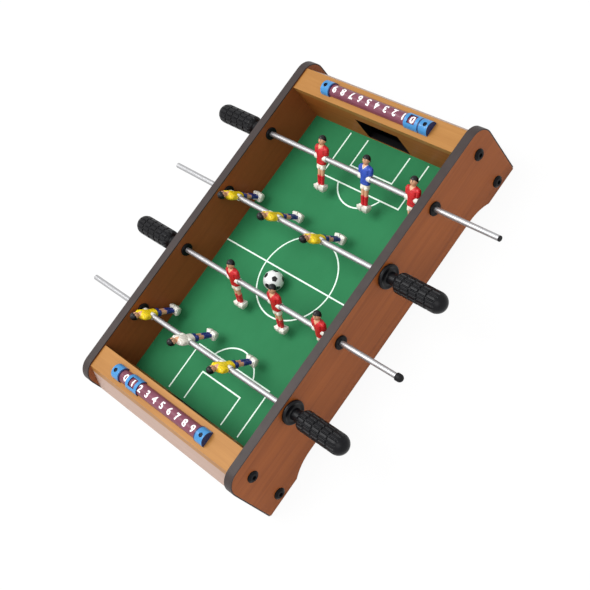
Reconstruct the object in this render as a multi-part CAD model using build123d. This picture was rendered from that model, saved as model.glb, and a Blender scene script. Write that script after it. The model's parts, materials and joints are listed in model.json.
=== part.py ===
from build123d import *
import os
from math import cos, sin, atan2, hypot, radians

# Tabletop foosball table. Millimetres, +Z up, X along the pitch, Y along the rods.
# The origin lies on the ground under the middle of the pitch. The near end is -X, the front side is -Y.

# Side panels
TABLE_LENGTH = 505.0
TABLE_WIDTH = 300.0
PANEL_HEIGHT = 100.5
PANEL_THICKNESS = 12.0
CORNER_RADIUS = 22.0
FOOT_LENGTH = 53.5
ARCH_HEIGHT = 10.7
ARCH_RUN = 34.0
BAND_THICKNESS = 1.5
BAND_END_HEIGHT = 2.0

# Playing surface
FIELD_HEIGHT = 33.0
FIELD_THICKNESS = 5.0
FIELD_GROOVE_DEPTH = 4.0

# End boxes
BOARD_THICKNESS = 9.0
END_BOX_LENGTH = 48.0
GOAL_WIDTH = 73.0
GOAL_SILL = 3.0
GOAL_HEIGHT = 40.0
END_TOP_DROP = 2.5
END_TOP_WIDTH = 31.0
SLOPE_FOOT_HEIGHT = 60.0
BOX_FLOOR_BOTTOM = 6.0
BOX_FLOOR_THICKNESS = 12.0
RETURN_HOLE_DIAMETER = 36.0
RETURN_HOLE_LIFT = 2.0
BLOCK_LENGTH = 34.0

# Bolts and barrel nuts that hold the panels to the ends
BOLT_DIAMETER = 6.0
BOLT_REACH = 28.0
BOLT_HEAD_DIAMETER = 15.0
BOLT_HEAD_HEIGHT = 3.0
BOLT_HEAD_RIM = 1.0
BOLT_HEAD_TOP_DIAMETER = 10.0
BOLT_SOCKET_ACROSS = 5.0
BOLT_SOCKET_DEPTH = 2.2
BOLT_FROM_END = 28.5
UPPER_BOLT_HEIGHT = 72.0
NUT_DIAMETER = 9.0
NUT_LENGTH = 11.0
NUT_FROM_TIP = 6.0
HOLE_CLEARANCE = 0.1

# Rods and their bushings
ROD_DIAMETER = 7.0
ROD_WALL = 0.9
ROD_HEIGHT = 82.0
INNER_ROD_OFFSET = 46.0
OUTER_ROD_TO_GOAL = 64.0
ROD_STICK_OUT = 97.0
RUNNING_CLEARANCE = 0.08
FIXED_CLEARANCE = 0.05
BUSH_SLEEVE_DIAMETER = 11.0
BUSH_FLANGE_DIAMETER = 17.5
BUSH_FLANGE_THICKNESS = 2.5
BUSH_DISH = 0.8
BUSH_RING_DIAMETER = 17.0
BUSH_RING_THICKNESS = 2.2

# Rod end plugs and the rubber cap
PLUG_LENGTH = 12.0
PLUG_HEAD = 1.6
PLUG_CHAMFER = 0.4
CAP_DIAMETER = 9.6
CAP_LENGTH = 8.5
CAP_END_WALL = 3.0

# Handles
HANDLE_GAP = 0.5
HANDLE_LENGTH = 88.5
HANDLE_FLANGE_DIAMETER = 31.0
HANDLE_FLANGE_THICKNESS = 4.6
HANDLE_CUP_CLEARANCE = 0.8
HANDLE_NECK_DIAMETER = 14.0
HANDLE_NECK_END = 15.5
HANDLE_SHOULDER_RUN = 6.5
HANDLE_GRIP_DIAMETER = 25.6
HANDLE_BORE_DEPTH = 72.5
GRIP_GROOVE_DEPTH = 1.2
GRIP_GROOVE_WIDTH = 1.6
GRIP_SLOT_DEPTH = 0.9
GRIP_PAD_LENGTH = 11.7
GRIP_RINGS = 4
GRIP_COLUMNS = 8

# Players, measured from the rod axis
SECTION_ROUNDING = 0.42
PLAYER_SPACING = 78.0
RED_END_GAP = 9.3
YELLOW_END_GAP = 1.3
FOOT_CLEARANCE = 3.5
BOSS_DIAMETER = 9.6
BOSS_WIDTH = 21.0
HIP_HEIGHT = -8.5
HIP_WIDTH = 12.5
HIP_DEPTH = 8.6
WAIST_HEIGHT = -1.0
WAIST_WIDTH = 13.0
WAIST_DEPTH = 10.2
CHEST_HEIGHT = 9.0
CHEST_WIDTH = 15.0
CHEST_DEPTH = 10.4
SHOULDER_HEIGHT = 14.5
SHOULDER_WIDTH = 13.5
SHOULDER_DEPTH = 7.6
COLLAR_HEIGHT = 16.5
COLLAR_WIDTH = 6.5
COLLAR_DEPTH = 5.6
ARM_DIAMETER = 5.4
ARM_SHOULDER_HEIGHT = 12.0
ARM_SHOULDER_REACH = 7.0
ARM_HAND_REACH = 8.0
NECK_DIAMETER = 5.4
HEAD_HEIGHT = 23.4
HEAD_WIDTH = 9.6
HEAD_LENGTH = 12.4
SHORTS_HEM_HEIGHT = -14.5
SHORTS_HEM_WIDTH = 12.0
SHORTS_HEM_DEPTH = 8.0
LEG_SPREAD = 2.6
THIGH_DIAMETER = 6.0
ANKLE_DIAMETER = 5.0
LEG_OVERLAP = 1.0
BOOT_HEIGHT = 10.0
BOOT_SPREAD = 3.9
BOOT_SPLAY = 10.0
BOOT_TOP_WIDTH = 5.2
BOOT_TOP_DEPTH = 7.0
BOOT_WIDTH = 7.6
BOOT_DEPTH = 11.6
BOOT_RIM_UP = 7.0
BOOT_RIM_DOWN = 3.6
BOOT_SOLE_WIDTH = 5.0
BOOT_SOLE_DEPTH = 5.6
PLAYER_SCREW_DIAMETER = 2.4
PLAYER_SCREW_DEPTH_FROM_BACK = 0.4
PLAYER_SCREW_LENGTH = 3.2

# How far each row leans back, head towards +X for a positive angle
ROD_TILTS = {1: 41.0, 2: -30.5, 3: 27.0, 4: -36.0}

# Score counters on the end boards
DIGIT_PITCH = 14.8
DIGIT_COUNT = 10
STRIP_RADIUS = 8.5
CAP_RADIUS = 10.0
COUNTER_CAP_LENGTH = 15.0
LAST_CAP_SHIFT = 4.0
STRIP_SEAT = 4.0
SLIDER_LENGTH = 22.0
SLIDER_CLEARANCE = 0.3
SLIDER_WINDOW_LENGTH = 12.0
SLIDER_WINDOW_WIDTH = 12.0
COUNTER_FROM_FACE = 16.0
COUNTER_SCREW_DIAMETER = 3.0
COUNTER_SCREW_HEAD_DIAMETER = 5.6
COUNTER_SCREW_HEAD_HEIGHT = 2.0
COUNTER_SCREW_SINK = 3.0
COUNTER_SCREW_REACH = 7.0
NEAR_SCORE = 1
FAR_SCORE = 0

# Ball
BALL_DIAMETER = 26.0
BALL_X = -19.0
BALL_Y = 17.5

# Sizes that follow from the ones above
HALF_LENGTH = TABLE_LENGTH / 2
HALF_WIDTH = TABLE_WIDTH / 2
GOAL_FACE = HALF_LENGTH - END_BOX_LENGTH
INNER_HALF = HALF_WIDTH - PANEL_THICKNESS
END_TOP = PANEL_HEIGHT - END_TOP_DROP
END_TOP_UNDERSIDE = END_TOP - BOARD_THICKNESS
BOX_FLOOR_TOP = BOX_FLOOR_BOTTOM + BOX_FLOOR_THICKNESS
LOWER_BOLT_HEIGHT = BOX_FLOOR_BOTTOM + BOX_FLOOR_THICKNESS / 2
BOLT_X = HALF_LENGTH - BOLT_FROM_END
ROD_RADIUS = ROD_DIAMETER / 2
ROD_FREE_END = HALF_WIDTH + ROD_STICK_OUT
SOLE_DROP = ROD_HEIGHT - FIELD_HEIGHT - FOOT_CLEARANCE
HANDLE_START = HALF_WIDTH + HANDLE_GAP
STRIP_START = -DIGIT_PITCH * (DIGIT_COUNT - 1) / 2 - SLIDER_LENGTH / 2 - SLIDER_CLEARANCE
STRIP_END = -STRIP_START - LAST_CAP_SHIFT
COUNTER_X = GOAL_FACE + COUNTER_FROM_FACE
OUTER_ROD_OFFSET = GOAL_FACE - OUTER_ROD_TO_GOAL
ROD_X = {1: OUTER_ROD_OFFSET, 2: INNER_ROD_OFFSET, 3: -INNER_ROD_OFFSET, 4: -OUTER_ROD_OFFSET}
ROW_ROOM = INNER_HALF - BUSH_RING_THICKNESS - BOSS_WIDTH / 2 - PLAYER_SPACING
PLAYER_PLACES = {"back": 1, "middle": 0, "front": -1}


def side_bar(x0, x1, y0, y1, z0, z1):
    """A square-cut board between two corners."""
    return Pos((x0 + x1) / 2, (y0 + y1) / 2, (z0 + z1) / 2) * Box(x1 - x0, y1 - y0, z1 - z0)


def across(profile, half):
    """Extrude an X-Z profile across the table, from -half to +half in Y."""
    return extrude(Plane.XZ * profile, amount=half, both=True)


def hole_y(x, z, diameter):
    """A round cutter through the whole table along Y."""
    return Pos(x, 0, z) * Rot(90, 0, 0) * Cylinder(diameter / 2, 2 * TABLE_WIDTH)


def panel_outline(inset, foot):
    """Side view of a panel without its arch, drawn in by inset at the top and ends and cut off at foot."""
    half = HALF_LENGTH - inset
    top = PANEL_HEIGHT - inset
    radius = CORNER_RADIUS - inset
    corner = radius * (1 - cos(radians(45)))
    line = Polyline((-half, foot), (half, foot), (half, top - radius))
    line += ThreePointArc((half, top - radius), (half - corner, top - corner), (half - radius, top))
    line += Line((half - radius, top), (radius - half, top))
    line += ThreePointArc((radius - half, top), (corner - half, top - corner), (-half, top - radius))
    line += Line((-half, top - radius), (-half, foot))
    return make_face(line)


def arch_outline():
    """Side view of the gap under a panel, which runs out in a curve at each foot."""
    start = HALF_LENGTH - FOOT_LENGTH
    crown = start - ARCH_RUN
    radius = (ARCH_RUN**2 + ARCH_HEIGHT**2) / (2 * ARCH_HEIGHT)
    half_turn = atan2(ARCH_RUN, radius - ARCH_HEIGHT) / 2
    bend_x = crown + radius * sin(half_turn)
    bend_z = ARCH_HEIGHT - radius * (1 - cos(half_turn))
    line = ThreePointArc((-start, 0), (-bend_x, bend_z), (-crown, ARCH_HEIGHT))
    line += Line((-crown, ARCH_HEIGHT), (crown, ARCH_HEIGHT))
    line += ThreePointArc((crown, ARCH_HEIGHT), (bend_x, bend_z), (start, 0))
    line += Line((start, 0), (-start, 0))
    return make_face(line)


def panel_slab(outline, side):
    """Extrude a side view into the thickness of the front (-1) or back (+1) panel."""
    slab = extrude(Plane.XZ * outline, amount=PANEL_THICKNESS)
    return Pos(0, HALF_WIDTH if side > 0 else -INNER_HALF, 0) * slab


def bolt_spots():
    """The X and Z of the bolts through one panel."""
    return [(end * BOLT_X, z) for end in (-1, 1) for z in (LOWER_BOLT_HEIGHT, UPPER_BOLT_HEIGHT)]


def side_panel(side):
    """Wood panel with an arched lower edge, bolt and bushing holes and a groove for the field."""
    panel = panel_slab(panel_outline(BAND_THICKNESS, 0) - arch_outline(), side)
    for x in ROD_X.values():
        panel -= hole_y(x, ROD_HEIGHT, BUSH_SLEEVE_DIAMETER + 2 * HOLE_CLEARANCE)
    for x, z in bolt_spots():
        panel -= hole_y(x, z, BOLT_DIAMETER + 2 * HOLE_CLEARANCE)
    return panel - play_board()


def edge_band(side):
    """Dark strip that wraps the top and the two ends of a panel."""
    whole = panel_slab(panel_outline(0, BAND_END_HEIGHT), side)
    return whole - panel_slab(panel_outline(BAND_THICKNESS, BAND_END_HEIGHT), side)


def play_board():
    """Green field board, held in the panels' grooves."""
    half = INNER_HALF + FIELD_GROOVE_DEPTH
    low = FIELD_HEIGHT - FIELD_THICKNESS
    return side_bar(-GOAL_FACE, GOAL_FACE, -half, half, low, FIELD_HEIGHT)


def at_end(end, part):
    """Turn a piece of the far (+1) end round to the near (-1) end."""
    return part if end > 0 else Rot(0, 0, 180) * part


def goal_board():
    """Inner end wall with the goal mouth."""
    back = GOAL_FACE + BOARD_THICKNESS
    board = side_bar(GOAL_FACE, back, -INNER_HALF, INNER_HALF, BOX_FLOOR_TOP, END_TOP_UNDERSIDE)
    low = FIELD_HEIGHT + GOAL_SILL
    half = GOAL_WIDTH / 2
    return board - side_bar(GOAL_FACE, back, -half, half, low, low + GOAL_HEIGHT)


def slope_x(height, depth):
    """X of the sloped end at a height, measured depth in from its outer face."""
    edge = GOAL_FACE + END_TOP_WIDTH
    run = HALF_LENGTH - edge
    rise = END_TOP - SLOPE_FOOT_HEIGHT
    return edge + run * (END_TOP - height) / rise - depth * hypot(run, rise) / rise


def top_board():
    """Board on top of the end box, its outer edge cut to the slope, with the counter's screw holes."""
    low = END_TOP_UNDERSIDE
    profile = Polygon(
        (GOAL_FACE, low), (slope_x(low, 0), low),
        (slope_x(END_TOP, 0), END_TOP), (GOAL_FACE, END_TOP), align=None,
    )
    board = across(profile, INNER_HALF)
    for y in counter_screw_places():
        board -= Pos(COUNTER_X, y, END_TOP) * Cylinder(COUNTER_SCREW_DIAMETER / 2, 2 * COUNTER_SCREW_REACH)
    return board


def sloped_board():
    """Slanted outer board under the top board's edge."""
    low = SLOPE_FOOT_HEIGHT
    high = END_TOP_UNDERSIDE
    profile = Polygon(
        (slope_x(low, BOARD_THICKNESS), low), (slope_x(low, 0), low),
        (slope_x(high, 0), high), (slope_x(high, BOARD_THICKNESS), high), align=None,
    )
    return across(profile, INNER_HALF)


def return_board():
    """Upright outer board with the round hole through which the ball is taken out."""
    inner = HALF_LENGTH - BOARD_THICKNESS
    board = side_bar(inner, HALF_LENGTH, -INNER_HALF, INNER_HALF, BOX_FLOOR_BOTTOM, SLOPE_FOOT_HEIGHT)
    radius = RETURN_HOLE_DIAMETER / 2
    hole = Rot(0, 90, 0) * Cylinder(radius, 3 * BOARD_THICKNESS)
    return board - Pos(HALF_LENGTH, 0, BOX_FLOOR_TOP + RETURN_HOLE_LIFT + radius) * hole


def box_floor():
    """Floor of the end box, drilled for the lower bolts and their nuts."""
    outer = HALF_LENGTH - BOARD_THICKNESS
    floor = side_bar(GOAL_FACE, outer, -INNER_HALF, INNER_HALF, BOX_FLOOR_BOTTOM, BOX_FLOOR_TOP)
    for side in (-1, 1):
        floor -= bolt_hole(LOWER_BOLT_HEIGHT, side)
        floor -= nut_hole(LOWER_BOLT_HEIGHT, side)
    return floor


def corner_block(side):
    """Glue block in the top corner of the end box, drilled for an upper bolt and its nut."""
    low = SLOPE_FOOT_HEIGHT
    high = END_TOP_UNDERSIDE
    inner = GOAL_FACE + BOARD_THICKNESS
    profile = Polygon(
        (inner, low), (slope_x(low, BOARD_THICKNESS), low),
        (slope_x(high, BOARD_THICKNESS), high), (inner, high), align=None,
    )
    block = Pos(0, side * (INNER_HALF - BLOCK_LENGTH / 2), 0) * across(profile, BLOCK_LENGTH / 2)
    return block - bolt_hole(UPPER_BOLT_HEIGHT, side) - nut_hole(UPPER_BOLT_HEIGHT, side)


def bolt_hole(height, side):
    """Blind hole from the panel's outer face to just past a bolt's tip."""
    depth = PANEL_THICKNESS + BOLT_REACH + HOLE_CLEARANCE
    hole = Rot(90, 0, 0) * Cylinder(BOLT_DIAMETER / 2 + HOLE_CLEARANCE, depth)
    return Pos(BOLT_X, side * (HALF_WIDTH - depth / 2), height) * hole


def nut_y():
    """Distance of the barrel nuts from the table's middle."""
    return INNER_HALF - BOLT_REACH + NUT_FROM_TIP


def nut_hole(height, side):
    """Upright hole for a barrel nut, open downwards."""
    depth = NUT_LENGTH / 2 + HOLE_CLEARANCE
    reach = depth + BOX_FLOOR_THICKNESS
    hole = Cylinder(NUT_DIAMETER / 2 + HOLE_CLEARANCE, reach)
    return Pos(BOLT_X, side * nut_y(), height + depth - reach / 2) * hole


def frame_bolt():
    """Button-head bolt with a hexagon socket, head outwards along -Y, seat at the origin."""
    length = PANEL_THICKNESS + BOLT_REACH
    shank = Pos(0, length / 2, 0) * Rot(90, 0, 0) * Cylinder(BOLT_DIAMETER / 2, length)
    head = turned(
        (0, 0), (BOLT_HEAD_DIAMETER / 2, 0), (BOLT_HEAD_DIAMETER / 2, -BOLT_HEAD_RIM),
        (BOLT_HEAD_TOP_DIAMETER / 2, -BOLT_HEAD_HEIGHT), (0, -BOLT_HEAD_HEIGHT),
    )
    hexagon = RegularPolygon(BOLT_SOCKET_ACROSS / 2, 6, major_radius=False)
    socket = extrude(Plane.XZ * hexagon, amount=BOLT_SOCKET_DEPTH)
    return shank + head - Pos(0, BOLT_SOCKET_DEPTH - BOLT_HEAD_HEIGHT, 0) * socket


def turned(*points):
    """A solid turned about Y, from points of (radius, distance along Y)."""
    return revolve(make_face(Polyline(*points, close=True)), axis=Axis.Y)


def frame_bolts():
    """The bolts of both panels."""
    bolt = frame_bolt()
    front = [Pos(x, -HALF_WIDTH, z) * bolt for x, z in bolt_spots()]
    back = [Pos(x, HALF_WIDTH, z) * Rot(0, 0, 180) * bolt for x, z in bolt_spots()]
    return front + back


def barrel_nuts():
    """Cross-drilled barrel nuts on the bolts' tips."""
    nut = Cylinder(NUT_DIAMETER / 2, NUT_LENGTH)
    nut -= Rot(90, 0, 0) * Cylinder(BOLT_DIAMETER / 2 + FIXED_CLEARANCE, NUT_DIAMETER)
    return [Pos(x, side * nut_y(), z) * nut for x, z in bolt_spots() for side in (-1, 1)]


def bushing_pair(x):
    """Flanged bushings in both panels with their inner clamping rings."""
    bore = ROD_RADIUS + RUNNING_CLEARANCE
    sleeve = BUSH_SLEEVE_DIAMETER / 2
    flange = BUSH_FLANGE_DIAMETER / 2
    tip = PANEL_THICKNESS + BUSH_RING_THICKNESS
    bush = turned(
        (bore, -BUSH_FLANGE_THICKNESS + BUSH_DISH), (sleeve, -BUSH_FLANGE_THICKNESS),
        (flange - BUSH_DISH, -BUSH_FLANGE_THICKNESS), (flange, BUSH_DISH - BUSH_FLANGE_THICKNESS),
        (flange, 0), (sleeve, 0), (sleeve, tip), (bore, tip),
    )
    ring_bore = sleeve + FIXED_CLEARANCE
    rim = BUSH_RING_DIAMETER / 2
    ring = turned(
        (ring_bore, PANEL_THICKNESS), (rim, PANEL_THICKNESS),
        (rim, tip - BUSH_DISH), (rim - BUSH_DISH, tip), (ring_bore, tip),
    )
    front = Pos(x, -HALF_WIDTH, ROD_HEIGHT)
    back = Pos(x, HALF_WIDTH, ROD_HEIGHT) * Rot(0, 0, 180)
    return [place * piece for place in (front, back) for piece in (bush, ring)]


def rod_side(number):
    """Side of a rod's handle: the back (+1) for the odd rods, the front (-1) for the even ones."""
    return 1 if number % 2 else -1


def on_rod(number, part):
    """Set a piece that was drawn with its handle towards +Y on its rod, leaning as the rod does."""
    turn = Rot(0, 0, 0 if rod_side(number) > 0 else 180)
    return Pos(ROD_X[number], 0, ROD_HEIGHT) * Rot(0, ROD_TILTS[number], 0) * turn * part


def plug_head(number):
    """How far the end piece of a rod stands out past the tube."""
    return CAP_END_WALL if number == 3 else PLUG_HEAD


def rod(number):
    """Chromed tube from its end plug into the handle, drilled for the players' screws."""
    low = plug_head(number) - ROD_FREE_END
    high = HANDLE_START + HANDLE_BORE_DEPTH - HOLE_CLEARANCE
    inner = ROD_RADIUS - ROD_WALL
    tube = on_rod(number, turned((inner, low), (ROD_RADIUS, low), (ROD_RADIUS, high), (inner, high)))
    for place in PLAYER_PLACES:
        tube -= on_row(number, place, player_screw_hole())
    return tube


def end_plug(number):
    """Plug in the tube's free end: a flush disc, or on rod 3 a rounded rubber cap over the end."""
    head = plug_head(number)
    spigot = ROD_RADIUS - ROD_WALL - RUNNING_CLEARANCE
    tube_end = head - ROD_FREE_END
    top = tube_end + PLUG_LENGTH
    if number != 3:
        rim = ROD_RADIUS - PLUG_CHAMFER
        body = turned(
            (0, -ROD_FREE_END), (rim, -ROD_FREE_END), (ROD_RADIUS, PLUG_CHAMFER - ROD_FREE_END),
            (ROD_RADIUS, tube_end), (spigot, tube_end), (spigot, top), (0, top),
        )
        return on_rod(number, body)
    outer = CAP_DIAMETER / 2
    skirt = CAP_LENGTH - ROD_FREE_END
    inside = ROD_RADIUS + RUNNING_CLEARANCE
    face = make_face(
        ThreePointArc(
            (0, -ROD_FREE_END),
            (outer * sin(radians(45)), outer * (1 - cos(radians(45))) - ROD_FREE_END),
            (outer, outer - ROD_FREE_END),
        )
        + Polyline(
            (outer, outer - ROD_FREE_END), (outer, skirt), (inside, skirt), (inside, tube_end),
            (spigot, tube_end), (spigot, top), (0, top), (0, -ROD_FREE_END),
        )
    )
    return on_rod(number, revolve(face, axis=Axis.Y))


def handle(number):
    """Moulded handle: guard cupped over the bushing, neck, and a domed grip of raised pads."""
    start = HANDLE_START
    flange = HANDLE_FLANGE_DIAMETER / 2
    neck = HANDLE_NECK_DIAMETER / 2
    grip = HANDLE_GRIP_DIAMETER / 2
    guard_end = start + HANDLE_FLANGE_THICKNESS
    neck_end = start + HANDLE_NECK_END
    grip_start = neck_end + HANDLE_SHOULDER_RUN
    dome_start = start + HANDLE_LENGTH - grip
    tip = start + HANDLE_LENGTH
    cup = BUSH_FLANGE_DIAMETER / 2 + HANDLE_CUP_CLEARANCE
    cup_end = start + BUSH_FLANGE_THICKNESS
    outline = Polyline(
        (0, cup_end), (cup, cup_end), (cup, start),
        (flange, start), (flange, start + HANDLE_FLANGE_THICKNESS / 2),
        (flange - HANDLE_FLANGE_THICKNESS / 2, guard_end), (neck, guard_end), (neck, neck_end),
        (grip - GRIP_GROOVE_DEPTH, (neck_end + grip_start) / 2), (grip, grip_start), (grip, dome_start),
    )
    outline += CenterArc((0, dome_start), grip, 0, 90)
    outline += Line((0, tip), (0, cup_end))
    body = revolve(make_face(outline), axis=Axis.Y)
    for ring in range(GRIP_RINGS):
        body -= grip_groove(grip_start + GRIP_GROOVE_WIDTH / 2 + ring * GRIP_PAD_LENGTH)
    slot_low = neck_end + GRIP_GROOVE_WIDTH
    slot_length = tip - slot_low
    slot = Box(GRIP_GROOVE_WIDTH, slot_length, 2 * GRIP_SLOT_DEPTH)
    for column in range(GRIP_COLUMNS):
        turn = Rot(0, column * 360 / GRIP_COLUMNS, 0)
        body -= turn * Pos(0, slot_low + slot_length / 2, grip) * slot
    bore = ROD_RADIUS + FIXED_CLEARANCE
    depth = start + HANDLE_BORE_DEPTH
    return on_rod(number, body - turned((0, start), (bore, start), (bore, depth), (0, depth)))


def grip_groove(middle):
    """Ring cutter for one groove round the grip."""
    low = middle - GRIP_GROOVE_WIDTH / 2
    high = middle + GRIP_GROOVE_WIDTH / 2
    inner = HANDLE_GRIP_DIAMETER / 2 - GRIP_GROOVE_DEPTH
    outer = HANDLE_GRIP_DIAMETER
    return turned((inner, low), (outer, low), (outer, high), (inner, high))


def section(height, depth, width):
    """Rounded cross-section of a player at a height above the rod axis."""
    return Pos(0, 0, height) * RectangleRounded(depth, width, min(depth, width) * SECTION_ROUNDING)


def limb(start, end, start_diameter, end_diameter):
    """Tapered round limb between two points."""
    axis = Vector(*end) - Vector(*start)
    low = Plane(origin=start, z_dir=axis)
    high = Plane(origin=end, z_dir=axis)
    return loft([low * Circle(start_diameter / 2), high * Circle(end_diameter / 2)])


def player_body():
    """Solid player facing -X, upright on a rod along Y."""
    torso = loft(
        [
            section(HIP_HEIGHT, HIP_DEPTH, HIP_WIDTH),
            section(WAIST_HEIGHT, WAIST_DEPTH, WAIST_WIDTH),
            section(CHEST_HEIGHT, CHEST_DEPTH, CHEST_WIDTH),
            section(SHOULDER_HEIGHT, SHOULDER_DEPTH, SHOULDER_WIDTH),
            section(COLLAR_HEIGHT, COLLAR_DEPTH, COLLAR_WIDTH),
        ],
        ruled=True,
    )
    hem = section(SHORTS_HEM_HEIGHT, SHORTS_HEM_DEPTH, SHORTS_HEM_WIDTH)
    shorts = loft([hem, section(HIP_HEIGHT, HIP_DEPTH, HIP_WIDTH)], ruled=True)
    body = torso + shorts + Rot(90, 0, 0) * Cylinder(BOSS_DIAMETER / 2, BOSS_WIDTH)
    for side in (-1, 1):
        shoulder = (0, side * ARM_SHOULDER_REACH, ARM_SHOULDER_HEIGHT)
        body += limb((0, side * ARM_HAND_REACH, 0), shoulder, ARM_DIAMETER, ARM_DIAMETER)
        body += Pos(*shoulder) * Sphere(ARM_DIAMETER / 2)
        body += limb(
            (0, side * LEG_SPREAD, BOOT_HEIGHT - SOLE_DROP - LEG_OVERLAP),
            (0, side * LEG_SPREAD, SHORTS_HEM_HEIGHT + LEG_OVERLAP),
            ANKLE_DIAMETER, THIGH_DIAMETER,
        )
    neck = Cylinder(NECK_DIAMETER / 2, HEAD_HEIGHT - COLLAR_HEIGHT)
    body += Pos(0, 0, (COLLAR_HEIGHT + HEAD_HEIGHT) / 2) * neck
    return body + player_head() + player_boots()


def player_head():
    """Egg-shaped head, turned about the body's axis."""
    half = HEAD_LENGTH / 2
    profile = EllipticalCenterArc((0, 0), HEAD_WIDTH / 2, half, start_angle=-90, arc_size=180)
    face = make_face(profile + Line((0, half), (0, -half)))
    return Pos(0, 0, HEAD_HEIGHT) * revolve(Plane.XZ * face, axis=Axis.Z)


def boot():
    """One boot about its own ankle, widest at its rim and drawn in to the sole."""
    return loft(
        [
            section(-SOLE_DROP, BOOT_SOLE_DEPTH, BOOT_SOLE_WIDTH),
            section(BOOT_RIM_DOWN - SOLE_DROP, BOOT_DEPTH, BOOT_WIDTH),
            section(BOOT_RIM_UP - SOLE_DROP, BOOT_DEPTH, BOOT_WIDTH),
            section(BOOT_HEIGHT - SOLE_DROP, BOOT_TOP_DEPTH, BOOT_TOP_WIDTH),
        ],
        ruled=True,
    )


def player_boots():
    """Both boots, toes turned out and heels grown together, as such players are moulded."""
    left = Pos(0, BOOT_SPREAD, 0) * Rot(0, 0, -BOOT_SPLAY) * boot()
    right = Pos(0, -BOOT_SPREAD, 0) * Rot(0, 0, BOOT_SPLAY) * boot()
    return left + right


def player_screw_hole():
    """Hole for the screw that grips the rod, from the player's back."""
    reach = WAIST_DEPTH
    return Pos(reach / 2, 0, 0) * Rot(0, 90, 0) * Cylinder(PLAYER_SCREW_DIAMETER / 2 + FIXED_CLEARANCE, reach)


def player_screw():
    """Headless screw from the player's back into the tube's wall."""
    middle = WAIST_DEPTH / 2 - PLAYER_SCREW_DEPTH_FROM_BACK - PLAYER_SCREW_LENGTH / 2
    return Pos(middle, 0, 0) * Rot(0, 90, 0) * Cylinder(PLAYER_SCREW_DIAMETER / 2, PLAYER_SCREW_LENGTH)


def row_offset(number):
    """Where the middle player of a rod stands."""
    return RED_END_GAP - ROW_ROOM if number % 2 else ROW_ROOM - YELLOW_END_GAP


def on_row(number, place, part):
    """Set a piece of a player, drawn facing -X, on its place of a rod and turn it to face its opponents."""
    y = row_offset(number) + PLAYER_PLACES[place] * PLAYER_SPACING
    facing = Rot(0, 0, 0 if number % 2 else 180)
    return Pos(ROD_X[number], y, ROD_HEIGHT) * Rot(0, ROD_TILTS[number], 0) * facing * part


def counter_screw_places():
    """Y of the two screws of a counter."""
    reach = (COUNTER_CAP_LENGTH + STRIP_SEAT) / 2
    return [STRIP_START - reach, STRIP_END + reach]


def half_round(radius, low, high):
    """Half-round bar along Y from low to high, flat side down on the end board."""
    bar = Rot(90, 0, 0) * Cylinder(radius, high - low)
    half = bar & Pos(0, 0, radius) * Box(2 * radius, high - low, 2 * radius)
    return Pos(COUNTER_X, (low + high) / 2, END_TOP) * half


def counter_strip():
    """Half-round number strip, its ends held in the caps."""
    return half_round(STRIP_RADIUS, STRIP_START - STRIP_SEAT, STRIP_END + STRIP_SEAT)


def counter_caps():
    """Half-round end caps that hold the strip's ends and take a sunk screw each."""
    seat = STRIP_SEAT + FIXED_CLEARANCE
    socket = half_round(STRIP_RADIUS + FIXED_CLEARANCE, STRIP_START - seat, STRIP_END + seat)
    head = Cylinder(COUNTER_SCREW_HEAD_DIAMETER / 2 + HOLE_CLEARANCE, 2 * COUNTER_SCREW_SINK)
    hole = Cylinder(COUNTER_SCREW_DIAMETER / 2 + HOLE_CLEARANCE, 4 * CAP_RADIUS)
    blanks = [
        half_round(CAP_RADIUS, STRIP_START - COUNTER_CAP_LENGTH, STRIP_START),
        half_round(CAP_RADIUS, STRIP_END, STRIP_END + COUNTER_CAP_LENGTH),
    ]
    caps = []
    for blank, y in zip(blanks, counter_screw_places()):
        cap = blank - socket - Pos(COUNTER_X, y, END_TOP + CAP_RADIUS) * head
        caps.append(cap - Pos(COUNTER_X, y, END_TOP) * hole)
    return caps


def counter_screw(y):
    """Pan-head screw through an end cap into the board."""
    seat = END_TOP + CAP_RADIUS - COUNTER_SCREW_SINK
    length = seat - END_TOP + COUNTER_SCREW_REACH
    shank = Cylinder(COUNTER_SCREW_DIAMETER / 2 - FIXED_CLEARANCE, length)
    head = Cylinder(COUNTER_SCREW_HEAD_DIAMETER / 2, COUNTER_SCREW_HEAD_HEIGHT)
    screw = Pos(0, 0, -length / 2) * shank + Pos(0, 0, COUNTER_SCREW_HEAD_HEIGHT / 2) * head
    return Pos(COUNTER_X, y, seat) * screw


def counter_slider(score):
    """Half-round marker that slides over the strip, with a window for one digit."""
    y = (score - (DIGIT_COUNT - 1) / 2) * DIGIT_PITCH
    slider = half_round(CAP_RADIUS, -SLIDER_LENGTH / 2, SLIDER_LENGTH / 2)
    slider -= half_round(STRIP_RADIUS + SLIDER_CLEARANCE, -SLIDER_LENGTH, SLIDER_LENGTH)
    window = Box(SLIDER_WINDOW_WIDTH, SLIDER_WINDOW_LENGTH, 2 * CAP_RADIUS)
    slider -= Pos(COUNTER_X, 0, END_TOP + CAP_RADIUS) * window
    gap = Pos(COUNTER_X, 0, END_TOP) * Box(3 * CAP_RADIUS, 2 * SLIDER_LENGTH, 2 * SLIDER_CLEARANCE)
    return Pos(0, y, 0) * (slider - gap)


def ball():
    """Loose ball on the field."""
    return Pos(BALL_X, BALL_Y, FIELD_HEIGHT + BALL_DIAMETER / 2) * Sphere(BALL_DIAMETER / 2)


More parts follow.
